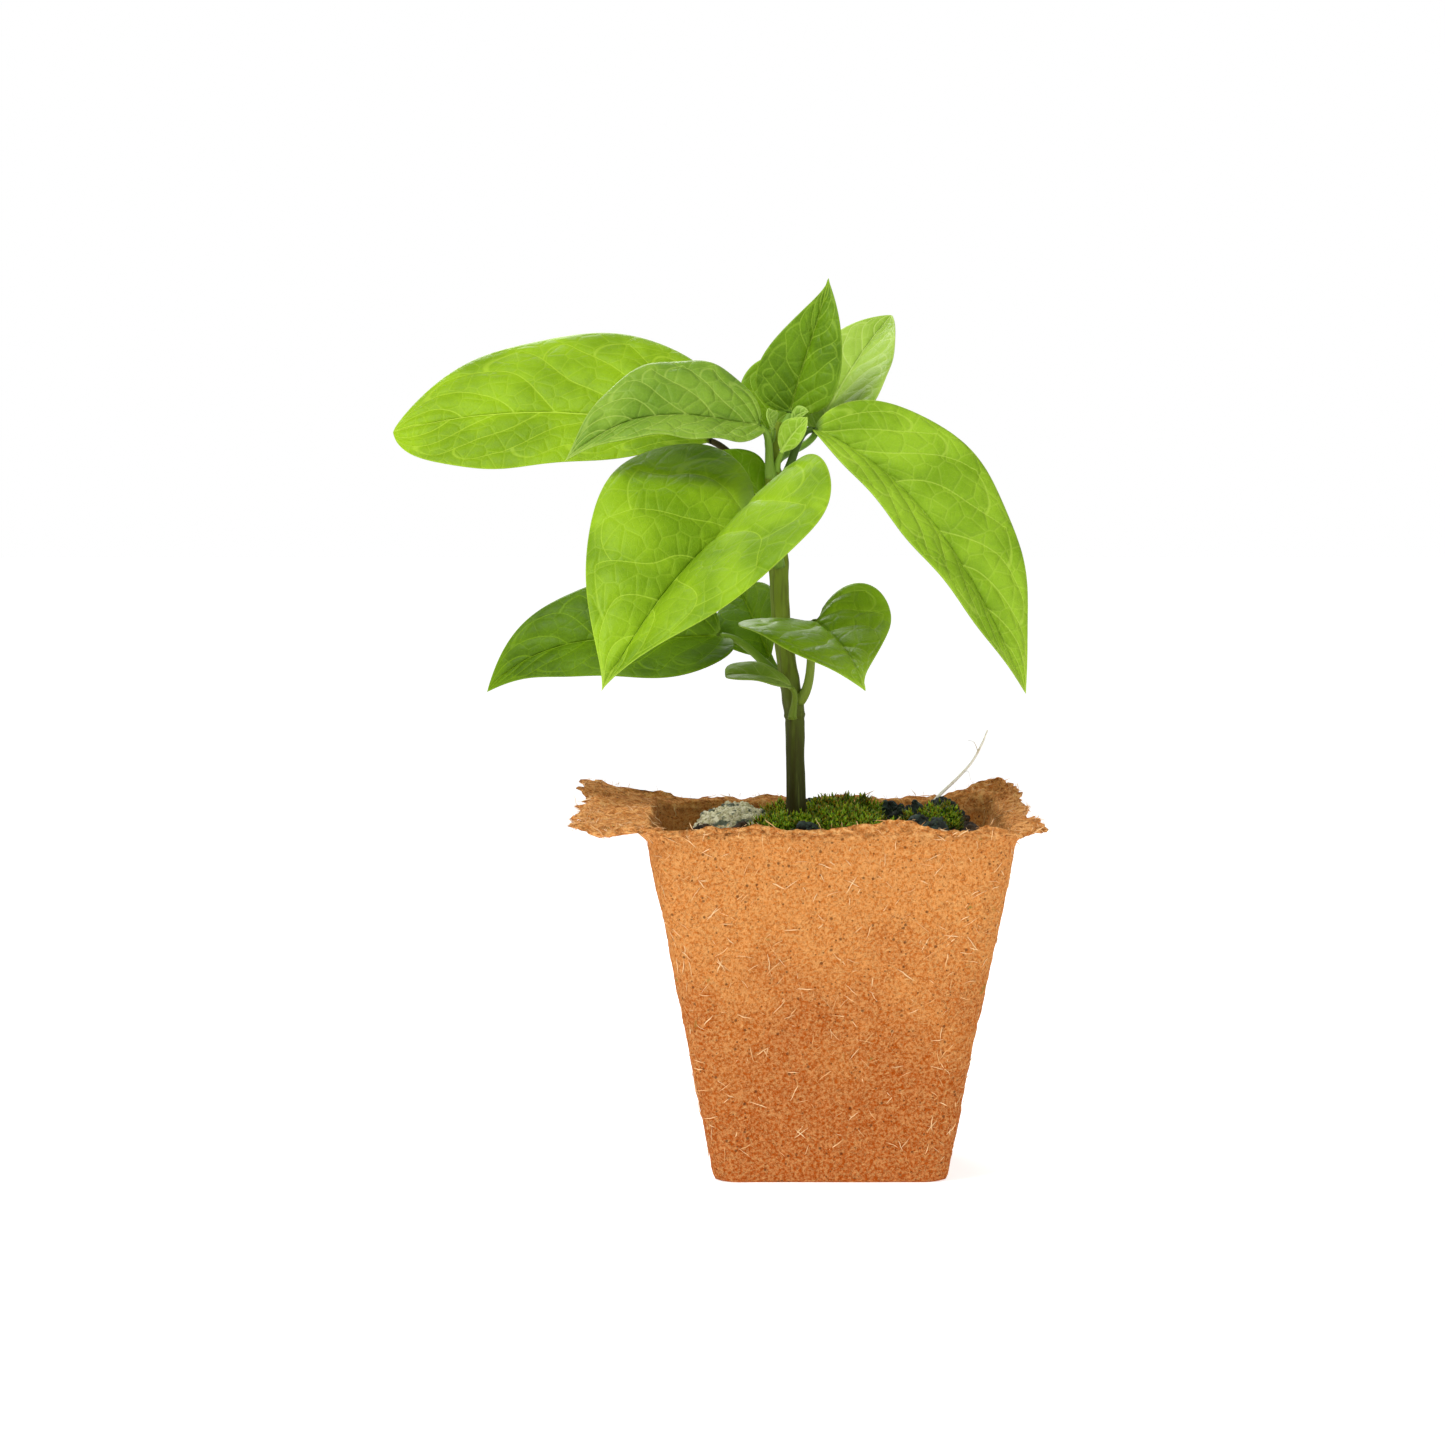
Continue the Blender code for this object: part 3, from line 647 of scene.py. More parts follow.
def potting_soil():
    """Moist potting soil: dark and brown lumps with a little grey dust."""
    soil = Finish("potting soil", {"Specular IOR Level": 0.15})
    lumps = soil.noise(2.6, 4.0, rough=0.65)
    colour = soil.mix(soil.ramp(lumps, 0.36, 0.66), SOIL_DARK, SOIL_BROWN)
    dust = soil.ramp(soil.noise(1.1, 3.0, soil.place + 9.0, 0.7), 0.55, 0.72)
    colour = soil.mix(dust * SOIL_DUST, colour, SOIL_GREY)
    return soil.done(colour, 0.8 + lumps * 0.15, lumps + dust * 0.3, 0.7)


def soil_ring(spread, height):
    outline = rounded_box(SOIL_LEFT - spread, SOIL_RIGHT + spread * 0.6, SOIL_FRONT - spread * 0.4,
                          SOIL_BACK + spread * 0.4, 9, 8, 44)
    return at_height(outline, height)


soil_rings = []
for height in (SOIL_BOTTOM, 20.0, 38.0, SOIL_SHOULDER - 1.0):
    half = wall_half(height) - POT_WALL - 1.2
    outline = rounded_box(-half, half, -half, half, wall_corner(height), 8, 44)
    soil_rings.append((at_height(outline, height), 0.3))
for share in np.linspace(0, 1, SOIL_EDGE_ROWS):
    height = SOIL_GUTTER_FROM + (SOIL_TOP - SOIL_GUTTER_FROM) * share
    soil_rings.append((soil_ring(2.6 * (1 - share) ** 0.7, height), 1.6))
crown = soil_ring(0, SOIL_TOP)
soil_middle = np.array([(SOIL_LEFT + SOIL_RIGHT) / 2, (SOIL_FRONT + SOIL_BACK) / 2, SOIL_TOP])
for share in np.linspace(0.97, 0.04, SOIL_TOP_ROWS):
    soil_rings.append((soil_middle + (crown - soil_middle) * share, 1.0))
soil_points = fluffed([ring for ring, _ in soil_rings], [rough for _, rough in soil_rings])
soil = piece("root_ball_soil", *skin(soil_points), potting_soil())
belongs(soil, "soil", "root_ball")


def lump(name, rows, sides, seed):
    """A crumb about 1 mm across, as a template."""
    rings = []
    for k in range(rows):
        rise = pi * (k + 0.5) / rows - pi / 2
        turns = np.linspace(0, tau, sides, endpoint=False)
        level = at_height(np.column_stack([np.cos(turns), np.sin(turns)]) * cos(rise), sin(rise))
        rings.append(level)
    rings = np.array(rings) * 0.5
    rings *= (1 + 0.45 * bumps(rings, 0.45, seed))[..., None]
    points, faces = skin(rings)
    return piece(name, points / MM, faces, soil.active_material)


def strewn_crumbs(name, template, seed):
    """Crumbs lying on a surface, each turned and sized at random; steep faces get none."""
    strew = Growth(name, {"Per mm2": 1.0, "Smallest": 1.0, "Largest": 2.0, "Material": None})
    up = strew.add("ShaderNodeSeparateXYZ", None, {0: strew.add("GeometryNodeInputNormal")}).other("Z")
    level = strew.add("FunctionNodeCompare", {"operation": "GREATER_THAN"}, {0: up, 1: 0.35})
    spots = strew.add("GeometryNodeDistributePointsOnFaces", {"distribute_method": "RANDOM"}, {
        "Mesh": strew.given("Geometry"), "Selection": level,
        "Density": strew.given("Per mm2") * (1 / MM**2), "Seed": seed})
    turn = strew.random((0,) * 3, (tau,) * 3, seed + 1, "FLOAT_VECTOR")
    big = strew.random(0.0, 1.0, seed + 2) ** 3.0
    size = (strew.given("Smallest") + big * (strew.given("Largest") - strew.given("Smallest"))) * MM
    flat = strew.random((0.7,) * 3, (1.2,) * 3, seed + 3, "FLOAT_VECTOR")
    one = strew.add("GeometryNodeObjectInfo", None, {"Object": template}).other("Geometry")
    copies = strew.add("GeometryNodeInstanceOnPoints", None, {
        "Points": spots, "Instance": one, "Rotation": turn, "Scale": flat * size})
    return strew.finish(copies)


crumb_shape = lump("crumb_shape", 5, 7, 4)
crumbs = grown("soil_crumbs", strewn_crumbs("strewn crumbs", crumb_shape, 21), soil, {
    "Per mm2": CRUMBS_PER_MM2, "Smallest": CRUMB_SIZE[0], "Largest": CRUMB_SIZE[1],
    "Material": soil.active_material})
belongs(crumbs, "soil")


# ---- What lies on the soil
# Round the stem the soil is overgrown by six cushions of bright green moss, left of it a grey-white crust of
# hard-water salts has dried on, and round about lie seven dark clods and some loose lumps, greened by algae.

MOSS = {  # centre, half sizes and height
    "moss_cushion_1": ((3, -7), (9, 8), 3.5),
    "moss_cushion_2": ((-10, -20), (7, 8), 2.4),
    "moss_cushion_3": ((4, 14), (8.5, 8), 6.0),
    "moss_cushion_4": ((-9, 13), (5, 8), 2.4),
    "moss_cushion_5": ((23.5, -4), (5.5, 8), 4.4),
    "moss_cushion_6": ((5, -24), (9, 5), 2.0),
}
CLODS = {  # centre, half sizes
    "soil_clod_1": ((19.5, -21.5), (3.0, 2.6, 2.2)),
    "soil_clod_2": ((23, -27), (3.4, 2.4, 2.0)),
    "soil_clod_3": ((27.5, 2.5), (3.2, 3.6, 2.6)),
    "soil_clod_4": ((26, 12), (2.6, 3.0, 3.0)),
    "soil_clod_5": ((26.5, 20.5), (3.4, 3.4, 2.6)),
    "soil_clod_6": ((-5.5, -29.5), (3.2, 2.2, 1.8)),
    "soil_clod_7": ((-3.5, 28), (3.4, 2.6, 2.2)),
}
LOOSE_LUMPS = (  # centre, half sizes and height of smaller lumps between the cushions
    ((17.5, 9), (3.4, 3.0, 3.6)), ((14.5, 21), (3.6, 2.8, 4.0)), ((21, 16), (3.0, 3.0, 4.4)),
    ((-2, -16), (2.0, 2.0, 2.6)),
)
CRUST_CENTRE, CRUST_HALF, CRUST_HEIGHT = (-21, 5), (8, 19), 4.4
SHOOTS_PER_MM2, SHOOT_HEIGHT = 0.7, (1.5, 4.4)
SHOOT_LEAFLETS = 9
GRAINS_PER_MM2, GRAIN_SIZE = 0.8, (0.5, 2.0)
LUMP_CRUMBS_PER_MM2, LUMP_CRUMB_SIZE = 0.9, (0.7, 2.2)
MOSS_DEEP, MOSS_FRESH, MOSS_TIP = (0.014, 0.035, 0.002), (0.12, 0.25, 0.003), (0.38, 0.62, 0.02)
CRUST_WHITE, CRUST_SAND = (0.74, 0.69, 0.50), (0.44, 0.40, 0.22)
CLOD_BLACK, CLOD_TEAL = (0.012, 0.016, 0.012), (0.035, 0.06, 0.045)


def mound(name, centre, half, height, lumpy, seed, material, rows=16, sides=72):
    """A low lumpy mound that grows out of the soil."""
    rings = []
    for k in range(rows + 1):
        rise = pi / 2 * k / rows * 0.97
        turns = np.linspace(0, tau, sides, endpoint=False)
        uneven = 1 + 0.10 * np.sin(3 * turns + centre[0]) + 0.06 * np.sin(5 * turns + centre[1])
        x = centre[0] + half[0] * uneven * np.cos(turns) * cos(rise)
        y = centre[1] + half[1] * uneven * np.sin(turns) * cos(rise)
        rings.append(np.column_stack([x, y, np.full(sides, SOIL_TOP - 0.8 + (height + 0.9) * sin(rise))]))
    rings = np.array(rings)
    for axis in range(3):
        fine = 0.5 * bumps(rings, 1.3, seed + 5 + axis)
        rings[..., axis] += lumpy * (bumps(rings, 3.6, seed + axis) + fine)
    return piece(name, *skin(rings), material)


def moss_shoot(name):
    """One shoot, 1 mm high: a whorl of pointed leaflets in a few tiers round a short stalk."""
    points, faces = [], []
    for k in range(SHOOT_LEAFLETS):
        turn = k * 2.4
        tier = k / (SHOOT_LEAFLETS - 1)
        low, spread, lift = 0.15 + 0.55 * tier, 0.42 - 0.2 * tier, 0.18 + 0.3 * tier
        way = np.array([cos(turn), sin(turn), 0])
        side = np.array([-sin(turn), cos(turn), 0])
        foot = np.array([0, 0, low])
        middle = foot + way * spread * 0.5 + np.array([0, 0, lift * 0.45])
        tip = foot + way * spread + np.array([0, 0, lift])
        start = len(points)
        points += [foot, middle + side * 0.08, middle - side * 0.08, middle + np.array([0, 0, 0.05]), tip]
        faces += [(start + a, start + b, start + c) for a, b, c in
                  ((0, 1, 3), (0, 3, 2), (0, 2, 1), (4, 3, 1), (4, 2, 3), (4, 1, 2))]
    return piece(name, np.array(points) / MM, faces, soil.active_material)


def growing_moss(name, template, seed):
    """Shoots standing close on a mound, leaning a little at random, with the mound under them."""
    grow = Growth(name, {"Per mm2": 1.0, "Shortest": 1.0, "Tallest": 2.0, "Material": None})
    spots = grow.add("GeometryNodeDistributePointsOnFaces", {"distribute_method": "RANDOM"}, {
        "Mesh": grow.given("Geometry"), "Density": grow.given("Per mm2") * (1 / MM**2), "Seed": seed})
    lean = grow.random((-0.45, -0.45, 0.75), (0.45, 0.45, 1.0), seed + 1, "FLOAT_VECTOR")
    way = spots.other("Normal") * 0.6 + lean
    stand = grow.add("FunctionNodeAlignRotationToVector", {"axis": "Z"}, {"Vector": way})
    spin = grow.add("FunctionNodeAxisAngleToRotation", None, {"Angle": grow.random(0.0, tau, seed + 2)})
    turned = grow.add("FunctionNodeRotateRotation", {"rotation_space": "LOCAL"}, {0: stand, 1: spin})
    size = grow.random(grow.given("Shortest") * MM, grow.given("Tallest") * MM, seed + 3)
    one = grow.add("GeometryNodeObjectInfo", None, {"Object": template}).other("Geometry")
    copies = grow.add("GeometryNodeInstanceOnPoints", None, {
        "Points": spots, "Instance": one, "Rotation": turned, "Scale": size})
    both = grow.tree.nodes.new("GeometryNodeJoinGeometry")
    plug(both.inputs[0], grow.given("Geometry"))
    plug(both.inputs[0], copies)
    return grow.finish(Value(both.outputs[0]))


def living_moss():
    moss = Finish("moss", {"Specular IOR Level": 0.15, "Subsurface Weight": 0.15, "Subsurface Scale": 0.001})
    height = moss.add("ShaderNodeSeparateXYZ", None, {0: moss.place}).other("Z")
    patch = moss.noise(4.5, 3.0)
    fine = moss.noise(0.8, 2.0, moss.place + 3.0)
    high = moss.ramp(height + (patch - 0.5) * 5, 76.8, 81.0)
    colour = moss.mix(high, MOSS_DEEP, MOSS_FRESH)
    shade = moss.ramp(moss.noise(3.0, 2.0, moss.place + 8.0), 0.48, 0.58)
    colour = moss.mix(shade * 0.7, colour, MOSS_DEEP)
    colour = moss.mix(moss.ramp(fine, 0.5, 0.72) * (0.25 + high * 0.6) * (1 - shade * 0.8), colour, MOSS_TIP)
    return moss.done(colour, 0.6 + fine * 0.2)


moss_green = living_moss()
shoot_shape = moss_shoot("shoot_shape")
for k, (node, (centre, half, height)) in enumerate(MOSS.items()):
    bed = mound(f"bed_{k}", centre, half, 0.5 * height, 0.45, 40 + 9 * k, moss_green, 9, 36)
    cushion = grown(node + "_shoots", growing_moss(f"growing moss {k}", shoot_shape, 50 + 5 * k), bed, {
        "Per mm2": SHOOTS_PER_MM2, "Shortest": SHOOT_HEIGHT[0], "Tallest": SHOOT_HEIGHT[1],
        "Material": moss_green})
    belongs(cushion, "moss", node)
    bpy.data.objects.remove(bed)

crust_finish = Finish("mineral crust", {"Specular IOR Level": 0.25})
crust_grain = crust_finish.noise(1.0, 4.0, rough=0.7)
crust_patch = crust_finish.noise(3.4, 3.0, crust_finish.place + 5.0)
crust_colour = crust_finish.mix(crust_finish.ramp(crust_grain, 0.38, 0.62), CRUST_SAND, CRUST_WHITE)
crust_colour = crust_finish.mix(crust_finish.ramp(crust_patch, 0.53, 0.62) * 0.88, crust_colour, CLOD_TEAL)
crust_finish = crust_finish.done(crust_colour, 0.9, crust_grain, 0.6)
crust_bed = mound("crust_bed", CRUST_CENTRE, CRUST_HALF, CRUST_HEIGHT, 0.7, 7, crust_finish, 20, 96)
belongs(crust_bed, "crust", "mineral_crust")
crust_crumbs = grown("mineral_crust_grains", strewn_crumbs("crust grains", crumb_shape, 31), crust_bed, {
    "Per mm2": GRAINS_PER_MM2, "Smallest": GRAIN_SIZE[0], "Largest": GRAIN_SIZE[1], "Material": crust_finish})
belongs(crust_crumbs, "crust")

clod_finish = Finish("algae-dark clod", {"Specular IOR Level": 0.3})
clod_grain = clod_finish.noise(1.4, 4.0, rough=0.7)
clod_colour = clod_finish.mix(clod_finish.ramp(clod_grain, 0.42, 0.66), CLOD_BLACK, CLOD_TEAL)
clod_speck = clod_finish.ramp(clod_finish.noise(0.9, 2.0, clod_finish.place + 7.0), 0.66, 0.74)
clod_colour = clod_finish.mix(clod_speck * 0.6, clod_colour, MOSS_FRESH)
clod_finish = clod_finish.done(clod_colour, 0.85, clod_grain, 0.8)


def dark_lump(name, crumbs_name, centre, half, height, seeds, mesh_rows, *nodes):
    """A mound of dark soil with crumbs all over it."""
    bed = mound(name + "_bed", centre, half, height, 0.55, seeds[0], clod_finish, *mesh_rows)
    crumbs = grown(crumbs_name, strewn_crumbs(crumbs_name, crumb_shape, seeds[1]), bed, {
        "Per mm2": LUMP_CRUMBS_PER_MM2, "Smallest": LUMP_CRUMB_SIZE[0], "Largest": LUMP_CRUMB_SIZE[1],
        "Material": clod_finish})
    belongs(in_scene(name, bed.data), "dark_soil", *nodes)
    belongs(crumbs, "dark_soil")
    bpy.data.objects.remove(bed)


for k, (node, (centre, half)) in enumerate(CLODS.items()):
    seeds = (90 + 7 * k, 61 + 5 * k)
    dark_lump(node + "_clod", node + "_lumps", centre, half[:2], 2 * half[2], seeds, (12, 40), node)
for k, (centre, half) in enumerate(LOOSE_LUMPS):
    seeds = (190 + 7 * k, 131 + 5 * k)
    dark_lump(f"loose_lump_{k}", f"loose_lumps_{k}", centre, half[:2], half[2], seeds, (10, 36))
for template in (crumb_shape, shoot_shape):
    bpy.data.objects.remove(template)


# ---- Dry stalk
# A dead grass stalk stands in the soil's back right corner: hollow, bleached and a little kinked, with a few
# side hairs left of its panicle.

STRAW_LINE = (
    (22.5, 26.5, 77.2), (26.5, 27.5, 82), (31, 28.5, 86.2), (34.5, 29.5, 90), (36.8, 30, 94),
    (38.2, 30, 97.5),
)
STRAW_RADIUS = (0.42, 0.4, 0.36, 0.3, 0.28, 0.16)
STRAW_ROWS, STRAW_SIDES = 40, 10
RIDGE_COUNT = 5  # lengthwise ridges of a stalk or a stem
STRAW_HAIRS = (  # where along the stalk each side hair leaves it, and where it ends
    (0.5, (34.0, 26.5, 86.0)), (0.72, (33.5, 31.0, 95.0)),
)


def unit(vector):
    return vector / np.maximum(np.linalg.norm(vector, axis=-1, keepdims=True), 1e-12)


def smooth_line(points, count):
    """Points evenly spread in parameter along a Catmull-Rom curve through points."""
    points = np.array(points, float)
    padded = np.concatenate([[2 * points[0] - points[1]], points, [2 * points[-1] - points[-2]]])
    spot = np.linspace(0, len(points) - 1, count)
    base = np.minimum(spot.astype(int), len(points) - 2)
    t = (spot - base)[:, None]
    a, b, c, d = (padded[base + k] for k in range(4))
    return 0.5 * (2 * b + (c - a) * t + (2 * a - 5 * b + 4 * c - d) * t**2 + (3 * b - a - 3 * c + d) * t**3)


def tube(line, radii, sides, ridges=0.0):
    """Rings round a line, with lengthwise ridges if asked for."""
    along = unit(np.gradient(line, axis=0))
    start = np.cross(along[0], (0, 1, 0) if abs(along[0][1]) < 0.9 else (1, 0, 0))
    turns = np.linspace(0, tau, sides, endpoint=False)
    rings = []
    for centre, tangent, radius in zip(line, along, radii):
        start = unit(start - np.dot(start, tangent) * tangent)
        side = np.cross(tangent, start)
        reach = radius * (1 + ridges * np.cos(RIDGE_COUNT * turns))
        outward = np.cos(turns)[:, None] * start + np.sin(turns)[:, None] * side
        rings.append(centre + reach[:, None] * outward)
    return np.array(rings)


def joined(skins):
    """Points and faces of several skins as one."""
    points, faces, start = [], [], 0
    for part_points, part_faces in skins:
        points.append(part_points)
        faces += [tuple(start + k for k in face) for face in part_faces]
        start += len(part_points)
    return np.concatenate(points), faces


straw_axis = smooth_line(STRAW_LINE, STRAW_ROWS)
straw_shares = np.linspace(0, 1, STRAW_ROWS)
straw_radii = np.interp(straw_shares, np.linspace(0, 1, len(STRAW_RADIUS)), STRAW_RADIUS)
straw_skins = [skin(tube(straw_axis, straw_radii, STRAW_SIDES, 0.06))]
for share, end in STRAW_HAIRS:
    foot = straw_axis[int(share * (STRAW_ROWS - 1))]
    bend = (foot + np.array(end)) / 2 + np.array([0.3, 0, 0.9])
    straw_skins.append(skin(tube(smooth_line((foot, bend, end), 10), np.linspace(0.1, 0.04, 10), 5)))
bleached = Finish("bleached straw", {"Specular IOR Level": 0.35})
bleach_patch = bleached.noise(2.2, 2.0, bleached.place * (1.0, 1.0, 0.35))
bleach_tone = bleached.mix(bleached.ramp(bleach_patch, 0.52, 0.7), (0.93, 0.88, 0.76), (0.62, 0.46, 0.27))
bleached = bleached.done(bleach_tone, 0.6 + bleach_patch * 0.2)
dry_stalk = piece("dry_stalk_straw", *joined(straw_skins), bleached)
belongs(dry_stalk, "straw", "dry_stalk")


# ---- Stem
# The young stem is still green and slightly five-ridged, with streaks stained brown. It swells where leaves
# leave it, and a ring at a third of its height is the scar of the seed leaves.

STEM_LINE = (
    (-7.0, 0, 75), (-7.4, 0, 93), (-7.6, 0, 103), (-9, 0, 112), (-10.6, 0, 124),
    (-11.3, 0, 138), (-12.1, 0, 152), (-12.5, 0, 162), (-11, 0, 169),
)
STEM_RADIUS = (2.35, 2.1, 2.3, 2.2, 2.1, 2.2, 1.9, 1.5, 0.7)
STEM_ROWS, STEM_SIDES = 240, 48
STEM_NODES = (106.0, 111.0, 137.0, 147.0, 156.0, 161.0)  # heights where leaves leave it
SEED_LEAF_RING = 102.6
STEM_LOW, STEM_MIDDLE, STEM_HIGH = (0.034, 0.031, 0.002), (0.072, 0.092, 0.006), (0.15, 0.21, 0.012)
STEM_STAIN, STEM_PALE = (0.04, 0.024, 0.006), (0.17, 0.21, 0.035)

stem_axis = smooth_line(STEM_LINE, STEM_ROWS)
stem_heights = [place[2] for place in STEM_LINE]
stem_radii = np.interp(stem_axis[:, 2], stem_heights, STEM_RADIUS)
for node_height in STEM_NODES:
    stem_radii += 0.22 * np.exp(-((stem_axis[:, 2] - node_height) / 1.8) ** 2)
stem_radii += 0.16 * np.exp(-((stem_axis[:, 2] - SEED_LEAF_RING) / 0.35) ** 2)
stem_radii -= 0.10 * np.exp(-((stem_axis[:, 2] - SEED_LEAF_RING + 0.9) / 0.5) ** 2)
stem_rings = tube(stem_axis, stem_radii, STEM_SIDES, 0.035)
stem_rings += 0.05 * bumps(stem_rings * (1, 1, 0.3), 0.8, 5)[..., None]

stem_finish = Finish("green stem", {"Specular IOR Level": 0.14})
stem_height = stem_finish.add("ShaderNodeSeparateXYZ", None, {0: stem_finish.place}).other("Z")
stem_streak = stem_finish.noise(0.9, 2.0, stem_finish.place * (1.0, 1.0, 0.08))
stem_colour = stem_finish.mix(stem_finish.ramp(stem_height, 78, 102), STEM_LOW, STEM_MIDDLE)
stem_colour = stem_finish.mix(stem_finish.ramp(stem_height, 100, 120), stem_colour, STEM_HIGH)
stem_stain = stem_finish.ramp(stem_streak, 0.5, 0.66) * stem_finish.ramp(stem_height, 160, 142)
stem_colour = stem_finish.mix(stem_stain * 0.4, stem_colour, STEM_STAIN)
stem_pale = stem_finish.ramp(stem_streak, 0.46, 0.3) * 0.35
stem_colour = stem_finish.mix(stem_pale, stem_colour, STEM_PALE)
stem_finish = stem_finish.done(stem_colour, 0.42 + stem_streak * 0.2, stem_streak, 0.15)
stem = piece("stem_green", *skin(stem_rings), stem_finish)
belongs(stem, "stem", "stem")


# ---- Leaves
# Twelve leaves, one of them a seed leaf, and three leaflets of the growing tip. Each is one grown piece: a
# grooved petiole runs on as the midrib of a thin blade. Side veins leave it in arcs and join in loops near
# the margin; a fine net lies between them, and the green tissue bulges up a little between veins.

BLADE_THICK, MARGIN_THICK = 0.34, 0.2
STALK_RADIUS = (1.15, 0.75)  # of the petiole, at the stem and at the blade
LOBE_ROUND = 0.6  # below 1, the lobes past the base are round
BLUNT_TIP = 0.06  # share of the length over which the tip is rounded off
FOLD_FADE = 5  # how soon the fold at the base turns into the fold at the tip
FOOT_SINK = 0.7  # how deep a petiole's foot grows into the stem
CELL = 0.55  # size of the mesh's faces
VEIN_GROOVE, VEIN_RIDGE = 0.10, 0.22
LOOP_START, LOOP_DIP = 0.86, 0.2  # where, from midrib to margin, side veins turn into loops, which dip

